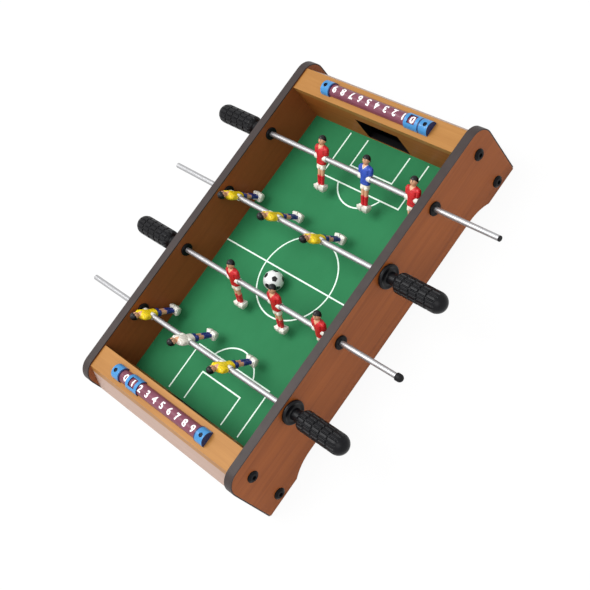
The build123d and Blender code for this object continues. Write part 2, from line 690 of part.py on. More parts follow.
def table_nodes():
    """Every piece of the frame, by node name."""
    nodes = {"play_board": [play_board()]}
    for name, side in (("front", -1), ("back", 1)):
        nodes[f"{name}_side_panel"] = [side_panel(side)]
        nodes[f"{name}_edge_band"] = [edge_band(side)]
    boards = (goal_board, top_board, sloped_board, return_board, box_floor)
    for name, end in (("near", -1), ("far", 1)):
        for board in boards:
            nodes[f"{name}_{board.__name__}"] = [at_end(end, board())]
    nodes["corner_blocks"] = [at_end(end, corner_block(side)) for end in (-1, 1) for side in (-1, 1)]
    nodes["frame_bolts"] = frame_bolts()
    nodes["barrel_nuts"] = barrel_nuts()
    return nodes


def counter_nodes():
    """The two score counters, by node name."""
    nodes = {}
    screws = []
    for name, end, score in (("near", -1, NEAR_SCORE), ("far", 1, FAR_SCORE)):
        nodes[f"{name}_counter_strip"] = [at_end(end, counter_strip())]
        nodes[f"{name}_counter_caps"] = [at_end(end, cap) for cap in counter_caps()]
        nodes[f"{name}_counter_slider"] = [at_end(end, counter_slider(score))]
        screws += [at_end(end, counter_screw(y)) for y in counter_screw_places()]
    nodes["counter_screws"] = screws
    return nodes


def rod_nodes():
    """The four rods with all that they carry, by node name."""
    nodes = {}
    rod_hole = Rot(90, 0, 0) * Cylinder(ROD_RADIUS + FIXED_CLEARANCE, 2 * BOSS_WIDTH)
    figure = player_body() - rod_hole - player_screw_hole()
    for number, x in ROD_X.items():
        nodes[f"rod_{number}_bushings"] = bushing_pair(x)
        nodes[f"rod_{number}"] = [rod(number)]
        nodes[f"rod_{number}_end_plug"] = [end_plug(number)]
        nodes[f"rod_{number}_handle"] = [handle(number)]
        for place in PLAYER_PLACES:
            nodes[f"rod_{number}_player_{place}"] = [on_row(number, place, figure)]
        screws = [on_row(number, place, player_screw()) for place in PLAYER_PLACES]
        nodes[f"rod_{number}_player_screws"] = screws
    return nodes


os.makedirs("parts", exist_ok=True)
for name, solids in {**table_nodes(), **counter_nodes(), **rod_nodes(), "ball": [ball()]}.items():
    shape = solids[0] if len(solids) == 1 else Compound(children=solids)
    export_step(shape, f"parts/{name}.step")
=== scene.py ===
"""Dresses the tabletop foosball table: finishes, moulded players, grips, printed marks and a plain studio."""

from __future__ import annotations

import json
import logging
import math
from dataclasses import dataclass, field, replace
from enum import Enum, IntEnum
from typing import Any, Mapping, Sequence, Union

import bmesh
import bpy
from mathutils import Matrix, Vector

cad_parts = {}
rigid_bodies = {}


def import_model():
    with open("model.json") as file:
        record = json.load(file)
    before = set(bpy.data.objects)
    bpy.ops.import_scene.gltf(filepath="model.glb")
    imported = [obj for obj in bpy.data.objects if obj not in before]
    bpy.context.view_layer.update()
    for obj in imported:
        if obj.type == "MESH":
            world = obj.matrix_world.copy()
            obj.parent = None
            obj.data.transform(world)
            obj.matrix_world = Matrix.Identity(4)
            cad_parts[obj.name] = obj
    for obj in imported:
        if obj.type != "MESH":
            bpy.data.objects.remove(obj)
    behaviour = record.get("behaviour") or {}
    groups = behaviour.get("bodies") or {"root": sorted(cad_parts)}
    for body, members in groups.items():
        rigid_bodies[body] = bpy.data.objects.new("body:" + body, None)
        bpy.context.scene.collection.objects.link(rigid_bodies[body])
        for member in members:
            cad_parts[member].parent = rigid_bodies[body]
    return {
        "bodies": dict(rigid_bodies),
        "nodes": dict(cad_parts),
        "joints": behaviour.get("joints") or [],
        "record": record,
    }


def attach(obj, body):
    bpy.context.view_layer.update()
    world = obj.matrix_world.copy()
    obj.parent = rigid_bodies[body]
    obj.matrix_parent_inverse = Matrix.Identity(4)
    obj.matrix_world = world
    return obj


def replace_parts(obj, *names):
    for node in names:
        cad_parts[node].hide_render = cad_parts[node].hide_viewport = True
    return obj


LOG = logging.getLogger("foosball")
MM = 0.001
TURN = 2.0 * math.pi
SIDES = (-1.0, 1.0)
ENDS = ("near", "far")
ROUND = 2.0
LIMB_POINTS = 16
Colour = tuple[float, float, float]
Point = tuple[float, float, float]
Rows = Sequence[tuple[float, float, float]]
Number = Union["Port", float, int]


def shaded(colour: Colour, share: float) -> Colour:
    """A colour with each part brought down to a share of itself."""
    return tuple(part * share for part in colour)


class Axis(Enum):
    """Direction of a grain or of a drawn surface."""

    X = 0
    Y = 1
    Z = 2


class Bare(Enum):
    """Sides of an end board that keep their wood print; the rest is painted near-black inside the goal box as
    painted shade.
    """

    ALL = "all"
    FIELD = "field"
    OUTSIDE = "outside"
    UNDERSIDE = "underside"


class Team(Enum):
    """Kits that the players wear."""

    RED = "red"
    YELLOW = "yellow"
    BLUE_KEEPER = "blue_keeper"
    WHITE_KEEPER = "white_keeper"


class Paint(IntEnum):
    """Places of the finishes in a player's mesh."""

    SHIRT = 0
    SHORTS = 1
    SKIN = 2
    SOCKS = 3
    WHITE = 4
    FACE = 5
    HAIR = 6


class Port:
    """A shader output that takes part in Python expressions."""

    def __init__(self, graph: "Graph", socket: bpy.types.NodeSocket) -> None:
        """Keep the graph and the output socket."""
        self.graph = graph
        self.socket = socket

    def _join(self, operation: str, *operands: Any) -> "Port":
        """Add a Math node, or a Vector Math node where a vector takes part.

        Args:
            operation: Name of the node's operation.
            operands: The values or ports that the node takes, in order.

        Returns:
            The node's result.
        """
        vector = any(
            isinstance(o, tuple) or (isinstance(o, Port) and o.socket.type == "VECTOR") for o in operands
        )
        kind = "ShaderNodeVectorMath" if vector else "ShaderNodeMath"
        if vector:
            operands = tuple((o, o, o) if isinstance(o, (int, float)) else o for o in operands)
        return self.graph.node(kind, {"operation": operation}, dict(enumerate(operands)))

    def __add__(self, other: Any) -> "Port":
        """Sum."""
        return self._join("ADD", self, other)

    def __radd__(self, other: Any) -> "Port":
        """Sum with the port on the right."""
        return self._join("ADD", other, self)

    def __sub__(self, other: Any) -> "Port":
        """Difference."""
        return self._join("SUBTRACT", self, other)

    def __rsub__(self, other: Any) -> "Port":
        """Difference with the port on the right."""
        return self._join("SUBTRACT", other, self)

    def __mul__(self, other: Any) -> "Port":
        """Product."""
        return self._join("MULTIPLY", self, other)

    def __rmul__(self, other: Any) -> "Port":
        """Product with the port on the right."""
        return self._join("MULTIPLY", other, self)

    def __lt__(self, other: Number) -> "Port":
        """One where the port is below the other value, else zero."""
        return self._join("LESS_THAN", self, other)

    def __gt__(self, other: Number) -> "Port":
        """One where the port is above the other value, else zero."""
        return self._join("GREATER_THAN", self, other)

    def __abs__(self) -> "Port":
        """Absolute value."""
        return self._join("ABSOLUTE", self)

    def smooth(self, low: float, high: float) -> "Port":
        """Smooth step from zero at low to one at high."""
        sockets = {"Value": self, "From Min": low, "From Max": high}
        return self.graph.node("ShaderNodeMapRange", {"interpolation_type": "SMOOTHSTEP"}, sockets)


class Graph:
    """Node tree of a material or of the surroundings."""

    def __init__(self, owner: Union[bpy.types.Material, bpy.types.World]) -> None:
        """Empty the owner's node tree.

        Args:
            owner: The material or world whose nodes are made here.
        """
        owner.use_nodes = True
        self.owner = owner
        self.tree = owner.node_tree
        self.tree.nodes.clear()

    @classmethod
    def material(cls, name: str) -> "Graph":
        """Start a material of that name."""
        return cls(bpy.data.materials.new(name))

    def node(
        self, kind: str, settings: Mapping[str, Any], sockets: Mapping[Any, Any], out: Union[int, str] = 0
    ) -> Port:
        """Add a node.

        Args:
            kind: The node's type.
            settings: Its settings, set before the sockets; a ramp's stops are given as "stops".
            sockets: Values or ports for its inputs, by name or index.
            out: The output to hand back.

        Returns:
            The chosen output.
        """
        node = self.tree.nodes.new(kind)
        for key, value in settings.items():
            if key == "stops":
                self._stops(node, value)
            else:
                setattr(node, key, value)
        for key, value in sockets.items():
            if isinstance(value, Port):
                self.tree.links.new(value.socket, node.inputs[key])
            else:
                node.inputs[key].default_value = self._fit(node.inputs[key], value)
        return Port(self, node.outputs[out] if node.outputs else node.inputs[0])

    @staticmethod
    def _stops(node: bpy.types.Node, stops: Sequence[tuple[float, Colour]]) -> None:
        """Set the stops of a colour ramp.

        Args:
            node: The ramp's node.
            stops: Place and colour of each stop.
        """
        ramp = node.color_ramp
        while len(ramp.elements) < len(stops):
            ramp.elements.new(0.5)
        for element, (place, colour) in zip(ramp.elements, stops):
            element.position = place
            element.color = (*colour, 1.0)

    @staticmethod
    def _fit(socket: bpy.types.NodeSocket, value: Any) -> Any:
        """Give a colour its alpha where the socket wants one.

        Args:
            socket: The input that gets the value.
            value: The value as it is written.

        Returns:
            The value as the socket takes it.
        """
        if socket.type == "RGBA" and len(value) == 3:
            return (*value, 1.0)
        return value

    def place(self) -> Port:
        """Object coordinates, in metres."""
        return self.node("ShaderNodeTexCoord", {}, {}, "Object")

    def split(self, vector: Port) -> tuple[Port, Port, Port]:
        """The three parts of a vector."""
        outs = self.node("ShaderNodeSeparateXYZ", {}, {0: vector}).socket.node.outputs
        return Port(self, outs[0]), Port(self, outs[1]), Port(self, outs[2])

    def normal(self) -> Port:
        """The surface's own direction."""
        return self.node("ShaderNodeTexCoord", {}, {}, "Normal")

    def noise(
        self, vector: Port, scale: float, detail: float = 3.0, rough: float = 0.55, warp: float = 0.0
    ) -> Port:
        """Fractal noise around one half."""
        sockets = {"Vector": vector, "Scale": scale, "Detail": detail, "Roughness": rough, "Distortion": warp}
        return self.node("ShaderNodeTexNoise", {}, sockets, "Fac")

    def mix(self, factor: Number, first: Any, second: Any) -> Port:
        """Mix two colours."""
        return self.node("ShaderNodeMix", {"data_type": "RGBA"}, {0: factor, 6: first, 7: second}, 2)

    def ramp(self, factor: Port, *stops: tuple[float, Colour]) -> Port:
        """Colour along a ramp."""
        return self.node("ShaderNodeValToRGB", {"stops": stops}, {0: factor})

    def bump(self, height: Port, strength: float, distance: float) -> Port:
        """Normal from a height."""
        return self.node("ShaderNodeBump", {}, {"Height": height, "Strength": strength, "Distance": distance})

    def surface(self, **sockets: Any) -> bpy.types.Material:
        """Close the tree with a Principled surface.

        Args:
            sockets: Inputs of the shader, with an underscore for each space in their names.

        Returns:
            The finished material.
        """
        named = {key.replace("_", " "): value for key, value in sockets.items()}
        return self.close(self.node("ShaderNodeBsdfPrincipled", {}, named))

    def close(self, shader: Port) -> Union[bpy.types.Material, bpy.types.World]:
        """Link a shader to the tree's output.

        Args:
            shader: The finished shader.

        Returns:
            The material or world that owns the tree.
        """
        world = isinstance(self.owner, bpy.types.World)
        self.node("ShaderNodeOutputWorld" if world else "ShaderNodeOutputMaterial", {}, {"Surface": shader})
        return self.owner


@dataclass(frozen=True)
class Finish:
    """A named surface that makes its own material."""

    name: str

    def make(self) -> bpy.types.Material:
        """Build the material in the way of this kind of finish.

        Returns:
            The material.
        """
        raise NotImplementedError


@dataclass(frozen=True)
class WoodFinish(Finish):
    """Printed wood-grain laminate; where an inside tone is set, faces inside the table take a darker copy as
    painted shade.
    """

    dark: Colour
    light: Colour
    grain: Axis
    contrast: float = 1.0
    rough: float = 0.46
    level: float = 0.22
    # Darker copy of the laminate for the faces inside the table: painted shade.
    inner: Colour | None = None
    inner_half: float = 138.2 * MM
    bare: Bare = Bare.ALL
    # Near-black painted shade for the sides inside the goal box.
    black: Colour = (0.0020, 0.0018, 0.0022)
    figure_scale: tuple[float, float] = (5.0, 130.0)
    pore_scale: tuple[float, float] = (28.0, 950.0)
    cloud_scale: float = 9.0
    scuff_scale: float = 240.0
    tone_low: float = 0.22
    tone_high: float = 0.78
    inner_shade: float = 0.72

    def make(self) -> bpy.types.Material:
        """Build the material.

        Returns:
            The material.
        """
        g = Graph.material(self.name)
        place = g.place()
        broad = g.noise(place * self._along(self.figure_scale), 1.0, 5.0, 0.6, 0.7)
        pores = g.noise(place * self._along(self.pore_scale), 1.0, 2.0, 0.5)
        cloud = g.noise(place, self.cloud_scale, 2.0)
        tone = (broad - 0.5) * self.contrast + (pores - 0.5) * (0.35 * self.contrast)
        tone = tone + (cloud - 0.5) * 0.35 + 0.5
        colour = self._printed(g, tone, self.dark, self.light)
        # Painted shade: between the side panels the laminate takes the darker inside tone.
        if self.inner is not None:
            inside = abs(g.split(place)[1]) < self.inner_half
            shade = shaded(self.inner, self.inner_shade)
            colour = g.mix(inside, colour, self._printed(g, tone, shade, self.inner))
        # Painted shade: sides inside the goal box go near-black.
        if self.bare is not Bare.ALL:
            colour = g.mix(self._painted(g, place), colour, self.black)
        scuff = g.noise(place, self.scuff_scale, 4.0).smooth(0.62, 0.8)
        return g.surface(
            Base_Color=colour,
            Roughness=pores * 0.12 + scuff * 0.12 + (self.rough - 0.08),
            Specular_IOR_Level=self.level,
            Normal=g.bump(pores * 0.6 + broad * 0.4, 0.12, 0.0003),
        )

    def _printed(self, g: Graph, tone: Port, dark: Colour, light: Colour) -> Port:
        """Colour of the print, from dark to light with the tone."""
        return g.ramp(tone, (self.tone_low, dark), (self.tone_high, light))

    def _along(self, scale: tuple[float, float]) -> tuple[float, ...]:
        """Noise scales by axis, from those along and across the grain."""
        return tuple(scale[0] if axis is self.grain else scale[1] for axis in Axis)

    def _painted(self, g: Graph, place: Port) -> Port:
        """Tell the sides of a board that take painted shade from its bare ones.

        Args:
            g: The material's graph.
            place: Object coordinates.

        Returns:
            One on the sides that are painted black as shade.
        """
        normal = g.split(g.normal())
        if self.bare is Bare.UNDERSIDE:
            return normal[2] > 0.5
        away = normal[0] * g.node("ShaderNodeMath", {"operation": "SIGN"}, {0: g.split(place)[0]})
        return away > -0.5 if self.bare is Bare.FIELD else away < -0.3


@dataclass(frozen=True)
class FieldFinish(Finish):
    """Playing board, printed green on top with a faint felt tooth and bare fibreboard below."""

    name: str = "field_green"
    dark: Colour = (0.0150, 0.140, 0.051)
    light: Colour = (0.0238, 0.195, 0.0755)
    board: Colour = (0.27, 0.165, 0.092)
    print_z: float = 32.5 * MM
    cloud_scale: float = 14.0
    tooth_scale: float = 1700.0
    wear_scale: float = 30.0

    def make(self) -> bpy.types.Material:
        """Build the material.

        Returns:
            The material.
        """
        g = Graph.material(self.name)
        place = g.place()
        cloud = g.noise(place, self.cloud_scale)
        tooth = g.noise(place, self.tooth_scale, 2.0)
        tone = (cloud - 0.5) * 0.7 + (tooth - 0.5) * 0.5 + 0.5
        worn = g.noise(place * (1.0, 5.0, 1.0), self.wear_scale, 4.0)
        fibre = g.ramp(tooth, (0.3, shaded(self.board, 0.8)), (0.7, self.board))
        green = g.ramp(tone, (0.2, self.dark), (0.8, self.light))
        return g.surface(
            Base_Color=g.mix(g.split(place)[2] > self.print_z, fibre, green),
            Roughness=worn * 0.2 + 0.58,
            Specular_IOR_Level=0.16,
            Normal=g.bump(tooth, 0.2, 0.00015),
        )


@dataclass(frozen=True)
class PlasticFinish(Finish):
    """Moulded plastic or enamel with a fine skin, slight colour drift and rubbed spots.

    Where an end colour is set, faces that look along Y take it as painted shade, and so does everything
    within a given half width of a given middle along Y, as a painted shade band.
    """

    colour: Colour
    rough: float = 0.35
    drift: float = 0.10
    grain: float = 900.0
    depth: float = 0.12
    level: float = 0.5
    # Navy painted shade for end faces and for the band at the caps' inner ends.
    end_colour: Colour | None = None
    lip_middle: float = 0.0
    lip_half: float = 0.0
    cloud_scale: float = 55.0
    rub_scale: float = 160.0

    def make(self) -> bpy.types.Material:
        """Build the material.

        Returns:
            The material.
        """
        g = Graph.material(self.name)
        place = g.place()
        cloud = g.noise(place, self.cloud_scale)
        skin = g.noise(place, self.grain, 2.0)
        rubbed = g.noise(place, self.rub_scale, 4.0).smooth(0.6, 0.78)
        low = shaded(self.colour, 1.0 - self.drift)
        high = tuple(min(1.0, part * (1.0 + self.drift) + 0.004) for part in self.colour)
        colour = g.ramp(cloud, (0.25, low), (0.75, high))
        # Painted shade: end faces, and the band about the given middle, take the darker colour.
        if self.end_colour is not None:
            colour = g.mix(abs(g.split(g.normal())[1]).smooth(0.6, 0.8), colour, self.end_colour)
            if self.lip_half:
                inside = abs(g.split(place)[1] - self.lip_middle) < self.lip_half
                colour = g.mix(inside, colour, self.end_colour)
        return g.surface(
            Base_Color=colour,
            Roughness=skin * 0.1 + rubbed * 0.12 + (self.rough - 0.07),
            Specular_IOR_Level=self.level,
            Normal=g.bump(skin, self.depth, 0.0002),
        )


@dataclass(frozen=True)
class MetalFinish(Finish):
    """Bright or blackened metal with drawing marks along one axis."""

    colour: Colour
    rough: float
    drawn: Axis = Axis.Y
    along_scale: float = 20.0
    across_scale: float = 2200.0
    haze_scale: float = 30.0

    def make(self) -> bpy.types.Material:
        """Build the material.

        Returns:
            The material.
        """
        g = Graph.material(self.name)
        place = g.place()
        stretch = tuple(self.along_scale if axis is self.drawn else self.across_scale for axis in Axis)
        marks = g.noise(place * stretch, 1.0, 2.0)
        haze = g.noise(place, self.haze_scale, 1.0)
        return g.surface(
            Base_Color=g.ramp(haze, (0.3, shaded(self.colour, 0.95)), (0.7, self.colour)),
            Metallic=1.0,
            Roughness=marks * 0.05 + haze * 0.06 + (self.rough - 0.055),
            Normal=g.bump(marks, 0.02, 0.00003),
        )


@dataclass(frozen=True)
class PrintFinish(Finish):
    """White screen-printed ink, a little rubbed."""

    colour: Colour = (0.84, 0.86, 0.82)
    rubbed: Colour = (0.60, 0.68, 0.60)
    wear_scale: float = 420.0
    skin_scale: float = 1500.0

    def make(self) -> bpy.types.Material:
        """Build the material.

        Returns:
            The material.
        """
        g = Graph.material(self.name)
        place = g.place()
        wear = g.noise(place, self.wear_scale, 4.0).smooth(0.56, 0.74)
        skin = g.noise(place, self.skin_scale, 1.0)
        return g.surface(
            Base_Color=g.mix(wear * 0.6, self.colour, self.rubbed),
            Roughness=wear * 0.2 + 0.5,
            Normal=g.bump(skin, 0.1, 0.0001),
        )


@dataclass(frozen=True)
class ShirtFinish(Finish):
    """Enamelled shirt with a V-neck that shows the skin inside a coloured collar."""

    colour: Colour
    collar: Colour
    skin: Colour
    neck_z: float = 12.6 * MM
    slant: float = 1.25
    trim: float = 1.1 * MM
    fold_scale: float = 190.0
    fold_depth: float = 1.2 * MM
    # Share of the colour in the folds' hollows: painted shade.
    fold_shade: float = 0.6

    def make(self) -> bpy.types.Material:
        """Build the material.

        Returns:
            The material.
        """
        g = Graph.material(self.name)
        place = g.place()
        x, y, z = g.split(place)
        edge = z - abs(y) * self.slant
        front = x < 0.0
        folds = g.noise(place * (1.0, 1.0, 2.4), self.fold_scale, 3.0, 0.5, 0.6)
        # Painted shade: the folds' hollows are darkened in colour, as well as bumped.
        colour = g.ramp(folds, (0.32, shaded(self.colour, self.fold_shade)), (0.6, self.colour))
        colour = g.mix((edge > self.neck_z - self.trim) * front, colour, self.collar)
        colour = g.mix((edge > self.neck_z) * front, colour, self.skin)
        return g.surface(
            Base_Color=colour,
            Roughness=folds * 0.12 + 0.27,
            Specular_IOR_Level=0.45,
            Normal=g.bump(folds, 0.6, self.fold_depth),
        )


@dataclass(frozen=True)
class FaceFinish(Finish):
    """Painted toy face: eyes, brows and mouth on plain skin enamel, facing -X."""

    skin: Colour
    ink: Colour = (0.020, 0.014, 0.012)
    lips: Colour = (0.42, 0.12, 0.09)
    eye_z: float = 23.2 * MM
    eye_y: float = 1.75 * MM
    eye_size: float = 0.62 * MM
    mouth_z: float = 19.4 * MM
    mouth_half: float = 0.3 * MM
    mouth_reach: float = 1.25 * MM
    brow_rise: float = 1.35 * MM
    brow_half: float = 0.28 * MM
    brow_reach: float = 1.0 * MM
    front_x: float = -1.0 * MM
    flush_scale: float = 260.0

    def make(self) -> bpy.types.Material:
        """Build the material.

        Returns:
            The material.
        """
        g = Graph.material(self.name)
        place = g.place()
        x, y, z = g.split(place)
        front = x < self.front_x
        side = abs(y) - self.eye_y
        rise = z - self.eye_z
        eyes = (side * side + rise * rise) < self.eye_size**2
        brow = (abs(rise - self.brow_rise) < self.brow_half) * (abs(side) < self.brow_reach)
        mouth = (abs(z - self.mouth_z) < self.mouth_half) * (abs(y) < self.mouth_reach)
        flush = g.noise(place, self.flush_scale, 2.0)
        skin = g.ramp(flush, (0.3, shaded(self.skin, 0.9)), (0.7, self.skin))
        skin = g.mix(mouth * front, skin, self.lips)
        skin = g.mix((eyes + brow) * front, skin, self.ink)
        return g.surface(Base_Color=skin, Roughness=flush * 0.1 + 0.33, Normal=g.bump(flush, 0.08, 0.0003))


@dataclass
class Shell:
    """Points and faces gathered into one mesh, each face with the number of its finish."""

    points: list[Vector] = field(default_factory=list)
    faces: list[tuple[int, ...]] = field(default_factory=list)
    finishes: list[int] = field(default_factory=list)

    def loft(self, rings: Sequence[Sequence[Vector]], finish: int = 0, capped: bool = True) -> None:
        """Skin a row of rings that have as many points each.

        Args:
            rings: The rings, in order.
            finish: Number of the finish of these faces.
            capped: Whether both ends are closed.
        """
        base = len(self.points)
        count = len(rings[0])
        for ring in rings:
            self.points.extend(ring)
        for row in range(len(rings) - 1):
            low = base + row * count
            for i in range(count):
                j = (i + 1) % count
                self._add((low + i, low + j, low + count + j, low + count + i), finish)
        if capped:
            for row in (0, len(rings) - 1):
                self._cap(base + row * count, count, finish)

    def _cap(self, first: int, count: int, finish: int) -> None:
        """Close a ring with a fan round its middle.

        Args:
            first: Number of the ring's first point.
            count: How many points it has.
            finish: Number of the finish of these faces.
        """
        middle = sum((self.points[first + i] for i in range(count)), Vector()) / count
        self.points.append(middle)
        for i in range(count):
            self._add((first + i, first + (i + 1) % count, len(self.points) - 1), finish)

    def _add(self, face: tuple[int, ...], finish: int) -> None:
        """Keep one face."""
        self.faces.append(face)
        self.finishes.append(finish)

    def slab(self, outline: Sequence[tuple[float, float]], low: float, high: float, finish: int = 0) -> None:
        """Closed upright slab over an X-Y outline."""
        self.loft([[Vector((x, y, z)) for x, y in outline] for z in (low, high)], finish)

    def mesh(self, name: str, materials: Sequence[bpy.types.Material], smooth: bool = True) -> bpy.types.Mesh:
        """Make the mesh.

        Args:
            name: The mesh's name.
            materials: The finishes, by number.
            smooth: Whether its faces are shaded smooth.

        Returns:
            The mesh, with its faces turned outwards.
        """
        mesh = bpy.data.meshes.new(name)
        mesh.from_pydata([tuple(point) for point in self.points], [], self.faces)
        for material in materials:
            mesh.materials.append(material)
        for polygon, finish in zip(mesh.polygons, self.finishes):
            polygon.material_index = finish
            polygon.use_smooth = smooth
        made = bmesh.new()
        made.from_mesh(mesh)
        bmesh.ops.recalc_face_normals(made, faces=made.faces)
        made.to_mesh(mesh)
        made.free()
        return mesh


def oval(
    z: float, depth: float, width: float, x: float = 0.0, y: float = 0.0, power: float = 2.4, count: int = 24
) -> list[Vector]:
    """Level ring between an ellipse and a rounded oblong, sizes in millimetres.

    Args:
        z: Height of the ring.
        depth: Half of its size along X.
        width: Half of its size along Y.
        x: Middle along X.
        y: Middle along Y.
        power: Two for an ellipse, more for squarer corners.
        count: Number of points.

    Returns:
        The ring's points in metres.
    """
    ring = []
    for i in range(count):
        turn = TURN * i / count
        c, s = math.cos(turn), math.sin(turn)
        px = x + depth * math.copysign(abs(c) ** (2.0 / power), c)
        py = y + width * math.copysign(abs(s) ** (2.0 / power), s)
        ring.append(Vector((px, py, z)) * MM)
    return ring


def hoop(y: float, radius: float, count: int = 24) -> list[Vector]:
    """Round ring about the Y axis, sizes in millimetres."""
    turns = (TURN * i / count for i in range(count))
    return [Vector((radius * math.sin(t), y, radius * math.cos(t))) * MM for t in turns]


def ease(value: float) -> float:
    """Smooth step of a value between zero and one."""
    value = min(1.0, max(0.0, value))
    return value * value * (3.0 - 2.0 * value)


@dataclass
class Workshop:
    """The loaded frame and the finishes made so far."""

    frame: dict[str, Any]
    made: dict[str, bpy.types.Material] = field(default_factory=dict)
    bevel_steps: int = 2
    bevel_angle: float = math.radians(40.0)

    def finish(self, finish: Finish) -> bpy.types.Material:
        """Make the material of a finish once.

        Args:
            finish: The finish.

        Returns:
            Its material.
        """
        if finish.name not in self.made:
            self.made[finish.name] = finish.make()
        return self.made[finish.name]

    def dress(self, node: str, finish: Finish, bevel: float = 0.0) -> None:
        """Give a CAD node its finish and, if wanted, softened edges.

        Args:
            node: The node's name.
            finish: The finish that it gets.
            bevel: Width of the softened edges in metres.
        """
        item = self.frame["nodes"][node]
        material = self.finish(finish)
        if item.material_slots:
            for place in item.material_slots:
                place.material = material
        else:
            item.data.materials.append(material)
        if bevel:
            soft = item.modifiers.new("softened", "BEVEL")
            soft.width = bevel
            soft.segments = self.bevel_steps
            soft.limit_method = "ANGLE"
            soft.angle_limit = self.bevel_angle
        LOG.info("dressed %s with %s", node, finish.name)

    def piece(
        self, name: str, mesh: bpy.types.Mesh, body: str, slot: str, matrix: Matrix | None = None
    ) -> bpy.types.Object:
        """Put a mesh on a CAD body.

        Args:
            name: Name of the piece.
            mesh: Its mesh.
            body: The body that it rides on.
            slot: The record's material slot; not used.
            matrix: Its place, if its mesh isn't drawn in place.

        Returns:
            The new object.
        """
        item = bpy.data.objects.new(name, mesh)
        bpy.context.scene.collection.objects.link(item)
        if matrix is not None:
            item.matrix_world = matrix
        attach(item, body)
        LOG.info("made %s on %s", name, body)
        return item


PANEL_WOOD = WoodFinish(
    "panel_wood", (0.212, 0.052, 0.0085), (0.328, 0.089, 0.0165), Axis.X, inner=(0.275, 0.078, 0.021)
)
TOP_WOOD = WoodFinish("tan_wood", (0.325, 0.141, 0.033), (0.42, 0.200, 0.055), Axis.Y, 0.9)
# The boards of the goal box take near-black painted shade on their inner sides.
GOAL_WOOD = WoodFinish(
    "goal_wood", (0.235, 0.066, 0.013), (0.365, 0.115, 0.024), Axis.Y, level=0.12, bare=Bare.FIELD
)
FLOOR_WOOD = replace(GOAL_WOOD, name="box_floor_wood", level=0.06, bare=Bare.UNDERSIDE)
# Pale tone of the sloped and return boards: painted highlight standing in for the strong light on them.
PALE_HIGHLIGHT_WOOD = WoodFinish(
    "pale_board", (0.43, 0.300, 0.244), (0.53, 0.382, 0.322), Axis.Y, 0.5, 0.5, 0.06, bare=Bare.OUTSIDE
)
BLOCK_WOOD = WoodFinish("block_wood", (0.40, 0.25, 0.13), (0.52, 0.34, 0.19), Axis.Y)
BAND = PlasticFinish("edge_band", (0.035, 0.0245, 0.0230), 0.48, 0.12, 700.0, level=0.26)
BLACK_STEEL = PlasticFinish("black_steel", (0.003, 0.003, 0.004), 0.26, 0.2, 1200.0, level=0.10)
BLACK_PLASTIC = PlasticFinish("black_plastic", (0.004, 0.004, 0.005), 0.34, 0.2, 900.0, level=0.09)
GRIP_PLASTIC = PlasticFinish("grip_plastic", (0.003, 0.003, 0.0042), 0.34, 0.25, 1300.0, 0.1, 0.16)
BLACK_RUBBER = PlasticFinish("black_rubber", (0.006, 0.006, 0.007), 0.5, 0.2, 800.0, level=0.16)
GREY_PLASTIC = PlasticFinish("grey_plastic", (0.42, 0.42, 0.43), 0.4)
MAROON = PlasticFinish("counter_maroon", (0.17, 0.042, 0.072), 0.32, 0.12, 600.0, level=0.35)
# The navy end colour of the caps and marker is painted shade on their end faces.
SKY_BLUE = PlasticFinish(
    "counter_blue", (0.045, 0.235, 0.52), 0.30, 0.08, 600.0, level=0.4, end_colour=(0.012, 0.033, 0.125)
)
CHROME = MetalFinish("chrome", (0.47, 0.47, 0.48), 0.48)
ZINC = MetalFinish("zinc", (0.55, 0.55, 0.56), 0.34, Axis.Z)
# Near-black screws: dark metal, darkened further as painted shade for their recess.
DARK_ZINC_AND_SHADE = MetalFinish("dark_zinc_and_shade", (0.015, 0.018, 0.028), 0.42, Axis.Z)
LINE_INK = PrintFinish("line_ink", (0.74, 0.88, 0.79), (0.62, 0.80, 0.68))
DIGIT_INK = PrintFinish("digit_ink", (0.92, 0.90, 0.90), (0.80, 0.72, 0.73))
BALL_WHITE = PlasticFinish("ball_white", (0.82, 0.83, 0.83), 0.36, 0.04, 800.0)
BALL_BLACK = PlasticFinish("ball_black", (0.007, 0.007, 0.008), 0.36, 0.2, 800.0, level=0.35)


@dataclass
class TableFrame:
    """Panels, edge bands, end boxes and their bolts."""

    band_bevel: float = 0.5 * MM
    bolt_bevel: float = 0.3 * MM

    def dress(self, shop: Workshop) -> None:
        """Give each board and fastener of the frame its finish.

        Args:
            shop: The workshop with the frame.
        """
        for side in ("front", "back"):
            shop.dress(f"{side}_side_panel", PANEL_WOOD)
            shop.dress(f"{side}_edge_band", BAND, self.band_bevel)
        boards = {
            "goal_board": GOAL_WOOD, "top_board": TOP_WOOD, "sloped_board": PALE_HIGHLIGHT_WOOD,
            "return_board": PALE_HIGHLIGHT_WOOD, "box_floor": FLOOR_WOOD,
        }
        for end in ENDS:
            for board, finish in boards.items():
                shop.dress(f"{end}_{board}", finish)
        shop.dress("corner_blocks", BLOCK_WOOD)
        shop.dress("frame_bolts", BLACK_STEEL, self.bolt_bevel)
        shop.dress("barrel_nuts", ZINC)


